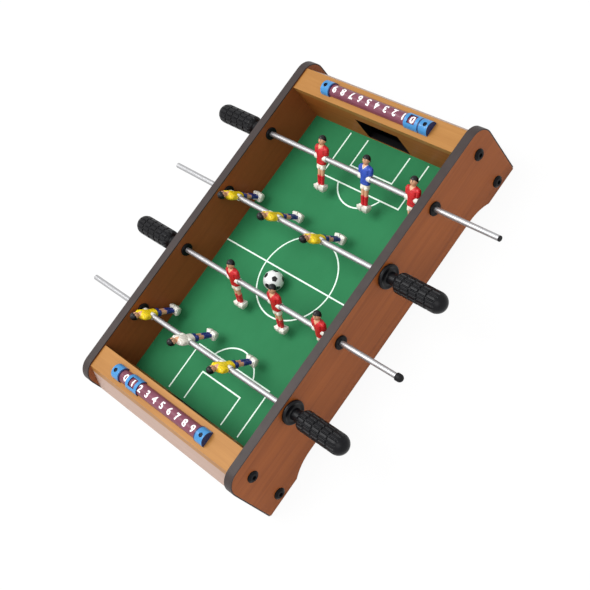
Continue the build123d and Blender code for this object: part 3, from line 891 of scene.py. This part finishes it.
@dataclass
class PlayingField:
    """Green board with its printed white lines, sizes in millimetres.

    Curved lines are a share thinner than straight ones, so that no two tops meet where they cross.
    """

    top: float = 33.0
    half_width: float = 138.0
    line: float = 1.9
    ink: float = 0.12
    sunk: float = 0.05
    circle: float = 58.0
    line_end: float = 200.8
    box_x: float = 134.8
    box_y: float = 68.4
    area_x: float = 160.8
    area_y: float = 36.8
    arc_x: float = 153.5
    arc_radius: float = 42.0
    arc_steps: int = 96
    arc_share: float = 0.8

    def dress(self, shop: Workshop) -> None:
        """Finish the board and print its lines.

        Args:
            shop: The workshop with the frame.
        """
        shop.dress("play_board", FieldFinish())
        mesh = self.build().mesh("field_lines", [shop.finish(LINE_INK)], smooth=False)
        shop.piece("field_lines", mesh, "table", "field")

    def build(self) -> Shell:
        """Draw every line as a thin closed slab of ink.

        Returns:
            The shell of all lines.
        """
        shell = Shell()
        self._bar(shell, 0.0, 0.0, -self.half_width, self.half_width)
        self._arc(shell, 0.0, self.circle, 0.0, TURN)
        half = self.line / 2.0
        for end in SIDES:
            for x, y in ((self.box_x, self.box_y), (self.area_x, self.area_y)):
                self._bar(shell, end * x, end * x, -y, y)
                for side in SIDES:
                    self._bar(shell, end * (x + self.line), end * (self.line_end - half), side * y, side * y)
            reach = math.acos((self.arc_x - self.box_x + half) / self.arc_radius)
            middle = math.pi if end > 0 else 0.0
            self._arc(shell, end * self.arc_x, self.arc_radius, middle - reach, middle + reach)
        return shell

    def _bar(self, shell: Shell, x0: float, x1: float, y0: float, y1: float) -> None:
        """One straight line, half a line's width longer at each end.

        Args:
            shell: Where the line goes.
            x0: First place along X.
            x1: Last place along X.
            y0: First place along Y.
            y1: Last place along Y.
        """
        half = self.line / 2.0
        x0, x1 = min(x0, x1) - half, max(x0, x1) + half
        y0, y1 = max(min(y0, y1) - half, -self.half_width), min(max(y0, y1) + half, self.half_width)
        outline = [(x0 * MM, y0 * MM), (x1 * MM, y0 * MM), (x1 * MM, y1 * MM), (x0 * MM, y1 * MM)]
        shell.slab(outline, (self.top - self.sunk) * MM, (self.top + self.ink) * MM)

    def _arc(self, shell: Shell, x: float, radius: float, start: float, end: float) -> None:
        """One curved line about a point on the long axis.

        Args:
            shell: Where the line goes.
            x: Middle of its circle.
            radius: Radius of its middle line.
            start: First angle in radians.
            end: Last angle in radians.
        """
        half = self.line / 2.0
        low, high = self.top - self.sunk, self.top + self.ink * self.arc_share
        section = [(radius + r, z) for r, z in ((-half, low), (half, low), (half, high), (-half, high))]
        rings = []
        for step in range(self.arc_steps + 1):
            turn = start + (end - start) * step / self.arc_steps
            c, s = math.cos(turn), math.sin(turn)
            rings.append([Vector((x + r * c, r * s, z)) * MM for r, z in section])
        shell.loft(rings, capped=not math.isclose(end - start, TURN))


@dataclass
class ScoreCounter:
    """One end's number strip with its caps and marker, sizes in millimetres."""

    end: str
    side: float
    strip_x: float = 220.5
    base: float = 98.0
    radius: float = 8.5
    pitch: float = 14.8
    height: float = 9.7
    bold: float = 0.04
    ink: float = 0.10
    slices: int = 12
    digits: int = 10
    type_size: float = 1.36
    curve_steps: int = 5
    weld: float = 0.002
    cap_middle: float = -2.0
    cap_half: float = 75.9
    # Width of the navy painted shade band at the caps' inner ends.
    lip: float = 1.8
    cap_bevel: float = 0.5
    marker_bevel: float = 0.4

    def dress(self, shop: Workshop) -> None:
        """Finish the strip, its caps and its marker, and print the digits.

        Args:
            shop: The workshop with the frame.
        """
        shop.dress(f"{self.end}_counter_strip", MAROON)
        # The caps' material with a navy painted shade band at their inner ends.
        shade_banded = replace(
            SKY_BLUE,
            name=f"{self.end}_cap_blue",
            lip_middle=self.side * self.cap_middle * MM,
            lip_half=(self.cap_half + self.lip) * MM,
        )
        shop.dress(f"{self.end}_counter_caps", shade_banded, self.cap_bevel * MM)
        shop.dress(f"{self.end}_counter_slider", SKY_BLUE, self.marker_bevel * MM)
        mesh = self.build()
        mesh.materials.append(shop.finish(DIGIT_INK))
        shop.piece(f"{self.end}_counter_digits", mesh, "table", "counter_maroon")

    def build(self) -> bpy.types.Mesh:
        """Bend the digits over the half-round strip.

        Returns:
            The mesh of all digits.
        """
        joined = bmesh.new()
        for digit in range(self.digits):
            flat = self._digit(digit)
            self._bend(flat, digit)
            mesh = bpy.data.meshes.new("digit")
            flat.to_mesh(mesh)
            flat.free()
            joined.from_mesh(mesh)
            bpy.data.meshes.remove(mesh)
        mesh = bpy.data.meshes.new(f"{self.end}_counter_digits")
        joined.to_mesh(mesh)
        joined.free()
        return mesh

    def _digit(self, digit: int) -> bmesh.types.BMesh:
        """One upright digit, cut into level slices so that it can bend.

        Args:
            digit: The digit to draw.

        Returns:
            The flat digit round the origin, in millimetres.
        """
        text = bpy.data.curves.new("digit", "FONT")
        text.body = str(digit)
        text.size = self.height * self.type_size
        text.offset = self.bold * self.height
        text.align_x = "CENTER"
        text.resolution_u = self.curve_steps
        text.extrude = self.ink
        item = bpy.data.objects.new("digit", text)
        bpy.context.scene.collection.objects.link(item)
        bpy.context.view_layer.update()
        drawn = item.evaluated_get(bpy.context.evaluated_depsgraph_get())
        mesh = bpy.data.meshes.new_from_object(drawn)
        flat = bmesh.new()
        flat.from_mesh(mesh)
        bpy.data.objects.remove(item)
        bpy.data.curves.remove(text)
        bpy.data.meshes.remove(mesh)
        lows = [v.co.y for v in flat.verts]
        sides = [v.co.x for v in flat.verts]
        shift = Vector((-(min(sides) + max(sides)) / 2.0, -(min(lows) + max(lows)) / 2.0, 0.0))
        bmesh.ops.translate(flat, verts=flat.verts, vec=shift)
        bmesh.ops.remove_doubles(flat, verts=flat.verts, dist=self.weld)
        for cut in range(1, self.slices):
            level = self.height * (cut / self.slices - 0.5)
            parts = list(flat.verts) + list(flat.edges) + list(flat.faces)
            bmesh.ops.bisect_plane(flat, geom=parts, plane_co=(0.0, level, 0.0), plane_no=(0.0, 1.0, 0.0))
        return flat

    def _bend(self, flat: bmesh.types.BMesh, digit: int) -> None:
        """Wrap a flat digit over the strip at its place in the row.

        Args:
            flat: The flat digit, which is changed in place.
            digit: Its number in the row.
        """
        middle = self.side * (digit - (self.digits - 1) / 2.0) * self.pitch
        for vertex in flat.verts:
            u, v, lift = vertex.co
            reach = self.radius + lift
            turn = v / self.radius
            x = self.side * (self.strip_x - reach * math.sin(turn))
            vertex.co = Vector((x, middle + self.side * u, self.base + reach * math.cos(turn))) * MM
        bmesh.ops.recalc_face_normals(flat, faces=flat.faces)


@dataclass
class HandleGrip:
    """Moulded handle of a dished guard, a neck and rows of soft-edged pads, sizes in millimetres."""

    start: float = 150.5
    length: float = 88.5
    guard: float = 15.5
    guard_depth: float = 4.6
    cup: float = 9.55
    cup_depth: float = 2.5
    bore: float = 3.6
    neck: float = 7.4
    neck_end: float = 16.2
    shoulder: float = 6.5
    grip: float = 12.8
    first: float = 30.4
    pad: float = 12.3
    rings: int = 4
    columns: int = 14
    groove: float = 2.0
    ring_depth: float = 1.9
    slot_depth: float = 1.5
    ring_flat: float = 0.3
    slot_flat: float = 0.2
    edge_run: float = 0.35
    slot_start: float = 1.5
    slot_end: float = 3.0
    slot_dome: float = 0.45
    around: int = 196
    step: float = 0.36
    tip: float = 2.0
    tip_share: float = 0.35
    tip_hole: float = 0.02

    def build(self) -> Shell:
        """Skin the handle about the Y axis, with its guard towards the table.

        Returns:
            The handle's shell.
        """
        shell = Shell()
        deep, rim, end = self.cup_depth, self.guard, self.guard_depth
        stations = [(deep, self.bore), (deep, self.cup - 0.2), (deep - 0.2, self.cup), (0.0, self.cup)]
        stations += [(0.0, rim - 0.9), (0.25, rim - 0.3), (0.9, rim), (end / 2.0, rim)]
        stations += [(0.75 * end, rim - 0.4), (0.92 * end, rim - 1.1), (end, rim - 2.0)]
        stations += [(end - 0.1, rim - 2.6), (end - 0.8, rim - 3.6), (end - 1.0, rim - 5.0)]
        stations += [(end - 0.9, self.neck + 1.8), (end - 0.3, self.neck + 0.6)]
        rings = [hoop(self.start + d, r, self.around) for d, r in stations]
        d = end + 0.6
        last = self.length - self.tip_hole
        while d < last:
            rings.append(self._pad_ring(d))
            d += self.step if d < self.length - self.tip else self.step * self.tip_share
        rings.append(self._pad_ring(last))
        shell.loft(rings)
        return shell

    def _profile(self, d: float) -> float:
        """Radius of the handle without its grooves.

        Args:
            d: Distance from the handle's start.

        Returns:
            The radius there.
        """
        dome = self.length - self.grip
        if d > dome:
            return math.sqrt(max(0.0, self.grip**2 - (d - dome) ** 2))
        share = ease((d - self.neck_end + 0.6) / self.shoulder)
        return self.neck + (self.grip - self.neck) * math.sqrt(share)

    def _cut(self, away: float, flat: float) -> float:
        """Share of a groove's depth at a distance from its middle line."""
        return 1.0 - ease((away - flat * self.groove) / (self.edge_run * self.groove))

    def _pad_ring(self, d: float) -> list[Vector]:
        """Ring of points with the grooves between the pads let in.

        Args:
            d: Distance from the handle's start.

        Returns:
            The ring's points in metres.
        """
        radius = self._profile(d)
        nearest = min(abs(d - self.first - k * self.pad) for k in range(self.rings))
        ring_cut = self.ring_depth * self._cut(nearest, self.ring_flat)
        dome = self.length - self.grip
        held = ease((d - self.neck_end - self.groove) / self.slot_start)
        held *= ease((dome + self.slot_dome * self.grip - d) / self.slot_end)
        points = []
        for i in range(self.around):
            turn = TURN * i / self.around
            slot = turn / TURN * self.columns + 0.5
            away = abs(slot - round(slot)) * TURN * radius / self.columns
            slot_cut = held * self.slot_depth * self._cut(away, self.slot_flat)
            r = radius - max(ring_cut, slot_cut)
            points.append(Vector((r * math.sin(turn), self.start + d, r * math.cos(turn))) * MM)
        return points


@dataclass(frozen=True)
class Kit:
    """Colours of one team's paint."""

    shirt: Colour
    collar: Colour
    shorts: Colour
    socks: Colour
    slot: str


SKIN: Colour = (0.62, 0.325, 0.185)
HAIR: Colour = (0.004, 0.004, 0.005)
CREAM: Colour = (0.82, 0.77, 0.66)
WHITE: Colour = (0.70, 0.69, 0.62)
SOCK_RED: Colour = (0.50, 0.010, 0.018)
NAVY: Colour = (0.009, 0.018, 0.17)
KITS: dict[Team, Kit] = {
    Team.RED: Kit((0.58, 0.011, 0.016), SKIN, CREAM, SOCK_RED, "player_red"),
    Team.YELLOW: Kit((0.96, 0.70, 0.010), SKIN, NAVY, NAVY, "player_yellow"),
    Team.BLUE_KEEPER: Kit((0.026, 0.078, 0.46), WHITE, CREAM, SOCK_RED, "player_blue"),
    Team.WHITE_KEEPER: Kit((0.85, 0.81, 0.72), SKIN, NAVY, NAVY, "player_cream"),
}


@dataclass
class PlayerFigure:
    """Moulded player facing -X, upright with the rod along Y through the origin, sizes in millimetres."""

    team: Team
    boss_radius: float = 4.3
    boss_start: float = 4.5
    boss_half: float = 10.0
    boss_round: float = 0.4
    rod_radius: float = 3.55
    head_z: float = 22.2
    head_half: float = 6.2
    head_width: float = 4.7
    head_depth: float = 4.9
    head_rings: int = 12
    head_power: float = 2.15
    jaw_taper: float = 0.16
    chin_reach: float = 0.25
    feature_points: int = 10
    ear_y: float = 4.5
    hair_points: int = 32
    hair_rows: int = 12
    hairline: float = 0.42
    nape: float = 0.95
    fringe: float = 0.03
    crown: float = 0.985
    hair_fit: float = 1.045
    hair_thick: float = 0.075
    hair_wave: float = 0.012
    hair_rise: float = 1.07
    hair_back: float = 0.15
    sleeve_depth: float = 1.12
    shorts_y: float = 3.05
    shorts_power: float = 2.3
    leg_y: float = 2.75
    sole: float = -45.5
    boot_y: float = 3.9
    boot_power: float = 10.0
    boot_points: int = 40
    splay: float = 10.0

    def mesh(self, shop: Workshop) -> bpy.types.Mesh:
        """The whole figure as one mesh with a finish for each kind of paint.

        Args:
            shop: The workshop that makes the finishes.

        Returns:
            The figure's mesh.
        """
        kit = KITS[self.team]
        tag = self.team.value
        shell = Shell()
        self._shirt(shell)
        self._shorts(shell)
        self._legs(shell)
        self._boots(shell)
        self._bosses(shell)
        self._head(shell)
        self._hair(shell)
        finishes = {
            Paint.SHIRT: ShirtFinish(f"{tag}_shirt", kit.shirt, kit.collar, SKIN),
            Paint.SHORTS: PlasticFinish(f"{tag}_shorts", kit.shorts, 0.34, 0.10, 700.0),
            Paint.SKIN: PlasticFinish("player_skin", SKIN, 0.36, 0.08, 700.0),
            Paint.SOCKS: PlasticFinish(f"{tag}_socks", kit.socks, 0.33, 0.12, 700.0),
            Paint.WHITE: PlasticFinish("player_white", WHITE, 0.36, 0.05, 700.0),
            Paint.FACE: FaceFinish("player_face", SKIN),
            Paint.HAIR: PlasticFinish("player_hair", HAIR, 0.34, 0.3, 420.0, 0.3, 0.3),
        }
        return shell.mesh(f"{tag}_player", [shop.finish(finishes[paint]) for paint in Paint])

    @staticmethod
    def _pair(shell: Shell, rows: Rows, y: float, power: float, paint: Paint) -> None:
        """The same upright limb on both sides.

        Args:
            shell: Where the limbs go.
            rows: Height, half depth and half width of each ring.
            y: Distance of the limbs from the middle.
            power: Two for round rings, more for squarer ones.
            paint: Finish of the limbs.
        """
        for side in SIDES:
            shell.loft([oval(z, d, w, 0.0, side * y, power, LIMB_POINTS) for z, d, w in rows], paint)

    def _shirt(self, shell: Shell) -> None:
        """Torso with short sleeves.

        Args:
            shell: Where the shirt goes.
        """
        torso = (
            (-9.0, 4.4, 6.6), (-8.7, 4.8, 7.1), (-7.4, 4.9, 7.2), (-3.0, 4.8, 6.9), (2.0, 5.1, 7.2),
            (6.5, 5.6, 8.0), (10.5, 5.6, 8.5), (13.0, 5.0, 8.3), (14.8, 4.1, 6.9), (16.0, 3.2, 4.6),
            (16.7, 2.6, 2.9),
        )
        shell.loft([oval(z, depth, width) for z, depth, width in torso], Paint.SHIRT)
        arm = (
            (15.2, 6.9, 1.4), (14.6, 7.3, 2.3), (12.4, 8.1, 3.1), (9.5, 8.2, 3.1), (6.0, 8.2, 3.05),
            (4.4, 8.1, 3.0), (4.1, 8.0, 2.5),
        )
        for side in SIDES:
            rings = [oval(z, r * self.sleeve_depth, r, 0.0, side * y, ROUND, LIMB_POINTS) for z, y, r in arm]
            shell.loft(rings, Paint.SHIRT)

    def _shorts(self, shell: Shell) -> None:
        """Hips and two short legs of cloth.

        Args:
            shell: Where the shorts go.
        """
        hips = ((-7.0, 4.3, 6.2), (-9.5, 4.5, 6.4), (-12.0, 4.4, 6.2), (-12.8, 3.8, 5.6))
        shell.loft([oval(z, depth, width) for z, depth, width in hips], Paint.SHORTS)
        leg = ((-10.5, 3.9, 2.9), (-13.5, 4.1, 3.1), (-15.3, 4.1, 3.15), (-15.6, 3.7, 2.8))
        self._pair(shell, leg, self.shorts_y, self.shorts_power, Paint.SHORTS)

    def _legs(self, shell: Shell) -> None:
        """Bare knees and stockings with a turned-over top.

        Args:
            shell: Where the legs go.
        """
        bare = ((-14.0, 3.1, 2.6), (-18.0, 3.0, 2.5), (-21.5, 2.6, 2.3), (-23.2, 2.7, 2.3), (-26.0, 2.6, 2.2))
        sock = (
            (-24.2, 2.6, 2.2), (-24.4, 3.1, 2.65), (-25.8, 3.15, 2.7), (-26.2, 2.85, 2.45),
            (-29.0, 2.95, 2.5), (-33.0, 2.5, 2.2), (-36.5, 2.5, 2.2), (-38.0, 2.7, 2.3),
        )
        self._pair(shell, bare, self.leg_y, ROUND, Paint.SKIN)
        self._pair(shell, sock, self.leg_y, ROUND, Paint.SOCKS)

    def _boots(self, shell: Shell) -> None:
        """Two squared boots, toes turned out, that draw in to the sole.

        Args:
            shell: Where the boots go.
        """
        rows = (
            (8.9, 2.9, 2.4), (7.9, 3.1, 2.6), (7.7, 3.3, 2.7), (7.65, 5.4, 3.7), (7.6, 5.6, 3.85),
            (7.4, 5.75, 3.95), (7.2, 5.75, 4.0), (3.6, 5.75, 4.0), (3.4, 5.6, 3.9), (3.2, 5.4, 3.75),
            (0.3, 3.7, 3.0), (0.0, 3.3, 2.7),
        )
        for side in SIDES:
            turn = Matrix.Rotation(math.radians(-side * self.splay), 3, "Z")
            shift = Vector((0.0, side * self.boot_y, 0.0)) * MM
            rings = [
                oval(self.sole + z, d, w, power=self.boot_power, count=self.boot_points) for z, d, w in rows
            ]
            shell.loft([[turn @ point + shift for point in ring] for ring in rings], Paint.WHITE)

    def _bosses(self, shell: Shell) -> None:
        """White collars where the rod goes in on both sides.

        Args:
            shell: Where the collars go.
        """
        start, end, outer, bore = self.boss_start, self.boss_half, self.boss_radius, self.rod_radius
        rows = (
            (start, outer), (end - self.boss_round, outer), (end - 0.1, outer - 0.12),
            (end, outer - self.boss_round), (end, bore), (start, bore), (start, outer),
        )
        for side in SIDES:
            shell.loft([hoop(side * y, r) for y, r in rows], Paint.WHITE, capped=False)

    def _head_ring(self, t: float) -> list[Vector]:
        """Level ring of the head.

        Args:
            t: Its height, from -1 at the chin to 1 at the crown.

        Returns:
            The ring's points in metres.
        """
        span = math.sqrt(max(0.0, 1.0 - t * t))
        chin = ease(-t)
        z = self.head_z + t * self.head_half
        width = span * (1.0 - self.jaw_taper * chin) * self.head_width
        return oval(z, span * self.head_depth, width, -self.chin_reach * chin, power=self.head_power)

    def _head(self, shell: Shell) -> None:
        """Head, neck, nose and ears.

        Args:
            shell: Where the head goes.
        """
        steps = range(1, self.head_rings + 1)
        levels = [math.sin(math.pi * (i / (self.head_rings + 1.0) - 0.5)) for i in steps]
        shell.loft([self._head_ring(t) for t in levels], Paint.FACE)
        neck = ((15.0, 2.8), (16.8, 2.6), (19.5, 2.6))
        shell.loft([oval(z, r, r, 0.2, 0.0, ROUND, LIMB_POINTS) for z, r in neck], Paint.FACE)
        nose = (
            (-1.7, 0.5, 0.5, -4.5), (-1.3, 1.0, 0.85, -4.7), (-0.2, 0.75, 0.6, -4.75), (1.1, 0.4, 0.4, -4.5),
        )
        count = self.feature_points
        shell.loft([oval(self.head_z + z, d, w, x, 0.0, ROUND, count) for z, d, w, x in nose], Paint.FACE)
        ear = ((-1.8, 0.4, 0.3), (-1.2, 0.95, 0.65), (0.2, 1.15, 0.7), (1.2, 0.9, 0.5), (1.6, 0.4, 0.3))
        for side in SIDES:
            rings = [oval(self.head_z + z, d, w, 0.5, side * self.ear_y, ROUND, count) for z, d, w in ear]
            shell.loft(rings, Paint.FACE)

    def _hair(self, shell: Shell) -> None:
        """Cap of hair, low at the back and off the brow.

        Args:
            shell: Where the hair goes.
        """
        rings = []
        for row in range(self.hair_rows + 1):
            share = row / self.hair_rows
            ring = []
            for i in range(self.hair_points):
                turn = TURN * i / self.hair_points
                back = (1.0 + math.cos(turn)) / 2.0
                low = self.hairline - self.nape * ease(back * 1.15 - 0.1) + self.fringe * math.sin(turn * 9.0)
                t = low + (self.crown - low) * ease(share) ** 0.85
                grow = self.hair_fit + self.hair_thick * ease(share * 5.0)
                grow += self.hair_wave * math.sin(turn * 11.0 + row)
                span = math.sqrt(max(0.0, 1.0 - t * t)) * (1.0 if row else 0.97)
                x = span * self.head_depth * grow * math.cos(turn) + self.hair_back
                y = span * self.head_width * grow * math.sin(turn)
                ring.append(Vector((x, y, self.head_z + t * self.head_half * self.hair_rise)) * MM)
            rings.append(ring)
        shell.loft(rings, Paint.HAIR)


@dataclass
class RodSet:
    """One rod with its bushings, plug, handle and players, sizes in millimetres and its lean in degrees."""

    number: int
    x: float
    tilt: float
    height: float = 82.0
    spacing: float = 78.0
    red_middle: float = -38.0
    yellow_middle: float = 46.0
    bush_bevel: float = 0.25

    @property
    def red(self) -> bool:
        """Whether the red team plays this rod."""
        return self.number % 2 == 1

    @property
    def body(self) -> str:
        """The CAD body that turns with the rod."""
        return f"rod_{self.number}_set"

    def dress(self, shop: Workshop, figures: Mapping[Team, bpy.types.Mesh], grip: bpy.types.Mesh) -> None:
        """Finish the rod and put its handle and players on.

        Args:
            shop: The workshop with the frame.
            figures: A ready mesh for each kit.
            grip: The ready mesh of the handle.
        """
        name = f"rod_{self.number}"
        shop.dress(name, CHROME)
        shop.dress(f"{name}_bushings", BLACK_PLASTIC, self.bush_bevel * MM)
        shop.dress(f"{name}_end_plug", BLACK_RUBBER if self.red else GREY_PLASTIC)
        shop.dress(f"{name}_player_screws", ZINC)
        flip = Matrix.Rotation(0.0 if self.red else math.pi, 4, "Z")
        item = shop.piece(f"{name}_grip", grip, self.body, "handle_plastic", self._lean(0.0) @ flip)
        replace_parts(item, f"{name}_handle")
        middle = self.red_middle if self.red else self.yellow_middle
        for place, step in (("back", 1), ("middle", 0), ("front", -1)):
            team = self._team(place)
            spot = self._lean(middle + step * self.spacing) @ flip
            figure = shop.piece(f"{name}_figure_{place}", figures[team], self.body, KITS[team].slot, spot)
            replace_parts(figure, f"{name}_player_{place}")

    def _team(self, place: str) -> Team:
        """Choose a player's kit.

        Args:
            place: The player's place on this rod.
        """
        if place == "middle" and self.number in (1, 4):
            return Team.BLUE_KEEPER if self.red else Team.WHITE_KEEPER
        return Team.RED if self.red else Team.YELLOW

    def _lean(self, y: float) -> Matrix:
        """Place on the rod with its lean."""
        place = Matrix.Translation(Vector((self.x, y, self.height)) * MM)
        return place @ Matrix.Rotation(math.radians(self.tilt), 4, "Y")


RODS: tuple[RodSet, ...] = (
    RodSet(1, 140.5, 41.0), RodSet(2, 46.0, -30.5), RodSet(3, -46.0, 27.0), RodSet(4, -140.5, -36.0),
)


@dataclass
class GameBall:
    """White ball with black pentagons, sizes in millimetres."""

    middle: Point = (-19.0, 17.5, 46.0)
    radius: float = 13.0
    spot: float = 0.295
    rounds: int = 4
    slack: float = 1.01
    turn: Point = (-2.984, -0.026, 3.021)

    def dress(self, shop: Workshop) -> None:
        """Make the ball and put it in the CAD ball's place.

        Args:
            shop: The workshop with the frame.
        """
        place = Matrix.Translation(Vector(self.middle) * MM)
        for angle, axis in zip(self.turn, "XYZ"):
            place = place @ Matrix.Rotation(angle, 4, axis)
        mesh = self.build()
        for finish in (BALL_WHITE, BALL_BLACK):
            mesh.materials.append(shop.finish(finish))
        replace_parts(shop.piece("ball_skin", mesh, "game_ball", "ball", place), "ball")

    def build(self) -> bpy.types.Mesh:
        """Join the ball's panels and round them out to its sphere.

        Returns:
            The ball's mesh, black panels with the second finish.
        """
        made = bmesh.new()
        corners = self._corners()
        edge = min((a - b).length for a in corners for b in corners if a is not b) * self.slack
        near = {
            i: [j for j, b in enumerate(corners) if j != i and (a - b).length < edge]
            for i, a in enumerate(corners)
        }
        points = {}
        for i, others in near.items():
            for j in others:
                points[i, j] = made.verts.new(corners[i].lerp(corners[j], self.spot).normalized())
        for i, others in near.items():
            made.faces.new([points[i, j] for j in self._ordered(corners, i, others)]).material_index = 1
        for i, others in near.items():
            for j in others:
                for k in others:
                    if i < j < k and k in near[j]:
                        loop = [(i, j), (j, i), (j, k), (k, j), (k, i), (i, k)]
                        made.faces.new([points[pair] for pair in loop])
        bmesh.ops.poke(made, faces=made.faces[:])
        for _ in range(self.rounds - 1):
            bmesh.ops.subdivide_edges(made, edges=made.edges[:], cuts=1, use_grid_fill=True)
        for vertex in made.verts:
            vertex.co = vertex.co.normalized() * self.radius * MM
        bmesh.ops.recalc_face_normals(made, faces=made.faces)
        for face in made.faces:
            face.smooth = True
        mesh = bpy.data.meshes.new("ball_skin")
        made.to_mesh(mesh)
        made.free()
        return mesh

    @staticmethod
    def _corners() -> list[Vector]:
        """Middles of the twelve black panels.

        Returns:
            Their directions from the ball's middle.
        """
        golden = (1.0 + math.sqrt(5.0)) / 2.0
        flat = [(0.0, a, b * golden) for a in SIDES for b in SIDES]
        return [Vector(p[i:] + p[:i]).normalized() for p in flat for i in range(3)]

    @staticmethod
    def _ordered(corners: Sequence[Vector], i: int, others: Sequence[int]) -> list[int]:
        """Sort the neighbours of a corner in the order in which they go round it.

        Args:
            corners: All corners.
            i: Number of the corner in the middle.
            others: Numbers of its neighbours.

        Returns:
            The neighbours' numbers in order.
        """
        axis = corners[i]
        first = (corners[others[0]] - axis * axis.dot(corners[others[0]])).normalized()
        second = axis.cross(first)
        return sorted(others, key=lambda j: math.atan2(corners[j].dot(second), corners[j].dot(first)))


@dataclass(frozen=True)
class Lamp:
    """Square soft lamp that looks at the table, in metres and watts."""

    name: str
    place: Point
    size: float
    power: float
    aim: Point = (0.0, 0.0, 0.05)

    def build(self) -> None:
        """Hang the lamp."""
        data = bpy.data.lights.new(self.name, "AREA")
        data.size = self.size
        data.energy = self.power
        lamp = bpy.data.objects.new(self.name, data)
        lamp.location = self.place
        way = Vector(self.aim) - Vector(self.place)
        lamp.rotation_euler = way.to_track_quat("-Z", "Y").to_euler()
        bpy.context.scene.collection.objects.link(lamp)


@dataclass
class Studio:
    """Pale floor, soft light and the photograph's camera, in metres."""

    floor_half: float = 6.0
    floor_z: float = -0.0004
    floor_tones: tuple[float, float] = (0.83, 0.85)
    floor_grain: float = 60.0
    floor_white: float = 0.93
    lens: float = 70.421
    sensor: float = 36.0
    nearest: float = 0.01
    eye: Point = (-0.165898, -0.929266, 1.107971)
    right: Point = (0.576826, -0.658986, -0.482710)
    up: Point = (0.810305, 0.386848, 0.440175)
    back: Point = (-0.103334, -0.645047, 0.757124)
    sky: tuple[tuple[float, float], ...] = ((0.0, 0.20), (0.28, 0.25), (0.5, 0.66), (0.8, 0.84))
    lamps: tuple[Lamp, ...] = (
        Lamp("key", (-0.45, 0.75, 2.40), 1.7, 55.0), Lamp("fill", (-0.7, -1.5, 1.7), 1.4, 13.0),
    )

    def build(self) -> None:
        """Set up everything that isn't the table."""
        self._floor()
        self._world()
        for lamp in self.lamps:
            lamp.build()
        self._camera()
        bpy.context.scene.view_settings.view_transform = "Standard"

    def _floor(self) -> None:
        """Pale floor that keeps the table's shadow."""
        h, z = self.floor_half, self.floor_z
        mesh = bpy.data.meshes.new("floor")
        mesh.from_pydata([(-h, -h, z), (h, -h, z), (h, h, z), (-h, h, z)], [], [(0, 1, 2, 3)])
        g = Graph.material("floor_white")
        low, high = ((tone, tone, tone) for tone in self.floor_tones)
        grain = g.ramp(g.noise(g.place(), self.floor_grain, 2.0), (0.3, low), (0.7, high))
        plain = g.node("ShaderNodeBsdfDiffuse", {}, {"Color": grain})
        glow = g.node("ShaderNodeEmission", {}, {"Color": (1.0, 1.0, 1.0), "Strength": 1.0})
        shown = {0: self._seen(g) * self.floor_white, 1: plain, 2: glow}
        mesh.materials.append(g.close(g.node("ShaderNodeMixShader", {}, shown)))
        floor = bpy.data.objects.new("floor", mesh)
        bpy.context.scene.collection.objects.link(floor)

    @staticmethod
    def _seen(g: Graph) -> Port:
        """Tell the rays that see the background from those that light the table.

        Args:
            g: The graph of the floor or of the world.

        Returns:
            One for camera, glossy and transmission rays.
        """
        rays = g.node("ShaderNodeLightPath", {}, {}, "Is Camera Ray")
        outs = rays.socket.node.outputs
        total = rays + Port(g, outs["Is Glossy Ray"]) + Port(g, outs["Is Transmission Ray"])
        return total > 0.5

    def _world(self) -> None:
        """Soft light that is brighter overhead, with white surroundings for the eye and for reflections."""
        world = bpy.data.worlds.new("studio")
        bpy.context.scene.world = world
        g = Graph(world)
        height = g.split(g.node("ShaderNodeTexCoord", {}, {}, "Generated"))[2]
        grey = g.ramp(height, *((place, (level, level, level)) for place, level in self.sky))
        shown = g.mix(self._seen(g), grey, (1.0, 1.0, 1.0))
        g.close(g.node("ShaderNodeBackground", {}, {"Color": shown, "Strength": 1.0}))

    def _camera(self) -> None:
        """Camera of the photograph."""
        data = bpy.data.cameras.new("camera")
        data.lens = self.lens
        data.sensor_width = self.sensor
        data.clip_start = self.nearest
        camera = bpy.data.objects.new("camera", data)
        turned = Matrix((self.right, self.up, self.back)).transposed().to_4x4()
        camera.matrix_world = Matrix.Translation(self.eye) @ turned
        bpy.context.scene.collection.objects.link(camera)
        bpy.context.scene.camera = camera


def main() -> None:
    """Build the table's pieces in order."""
    logging.basicConfig(level=logging.INFO)
    shop = Workshop(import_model())
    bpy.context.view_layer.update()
    TableFrame().dress(shop)
    PlayingField().dress(shop)
    for end, side in zip(ENDS, SIDES):
        ScoreCounter(end, side).dress(shop)
    shop.dress("counter_screws", DARK_ZINC_AND_SHADE)
    figures = {team: PlayerFigure(team).mesh(shop) for team in Team}
    grip = HandleGrip().build().mesh("grip", [shop.finish(GRIP_PLASTIC)])
    for rod in RODS:
        rod.dress(shop, figures, grip)
    GameBall().dress(shop)
    Studio().build()


if __name__ == "__main__":
    main()
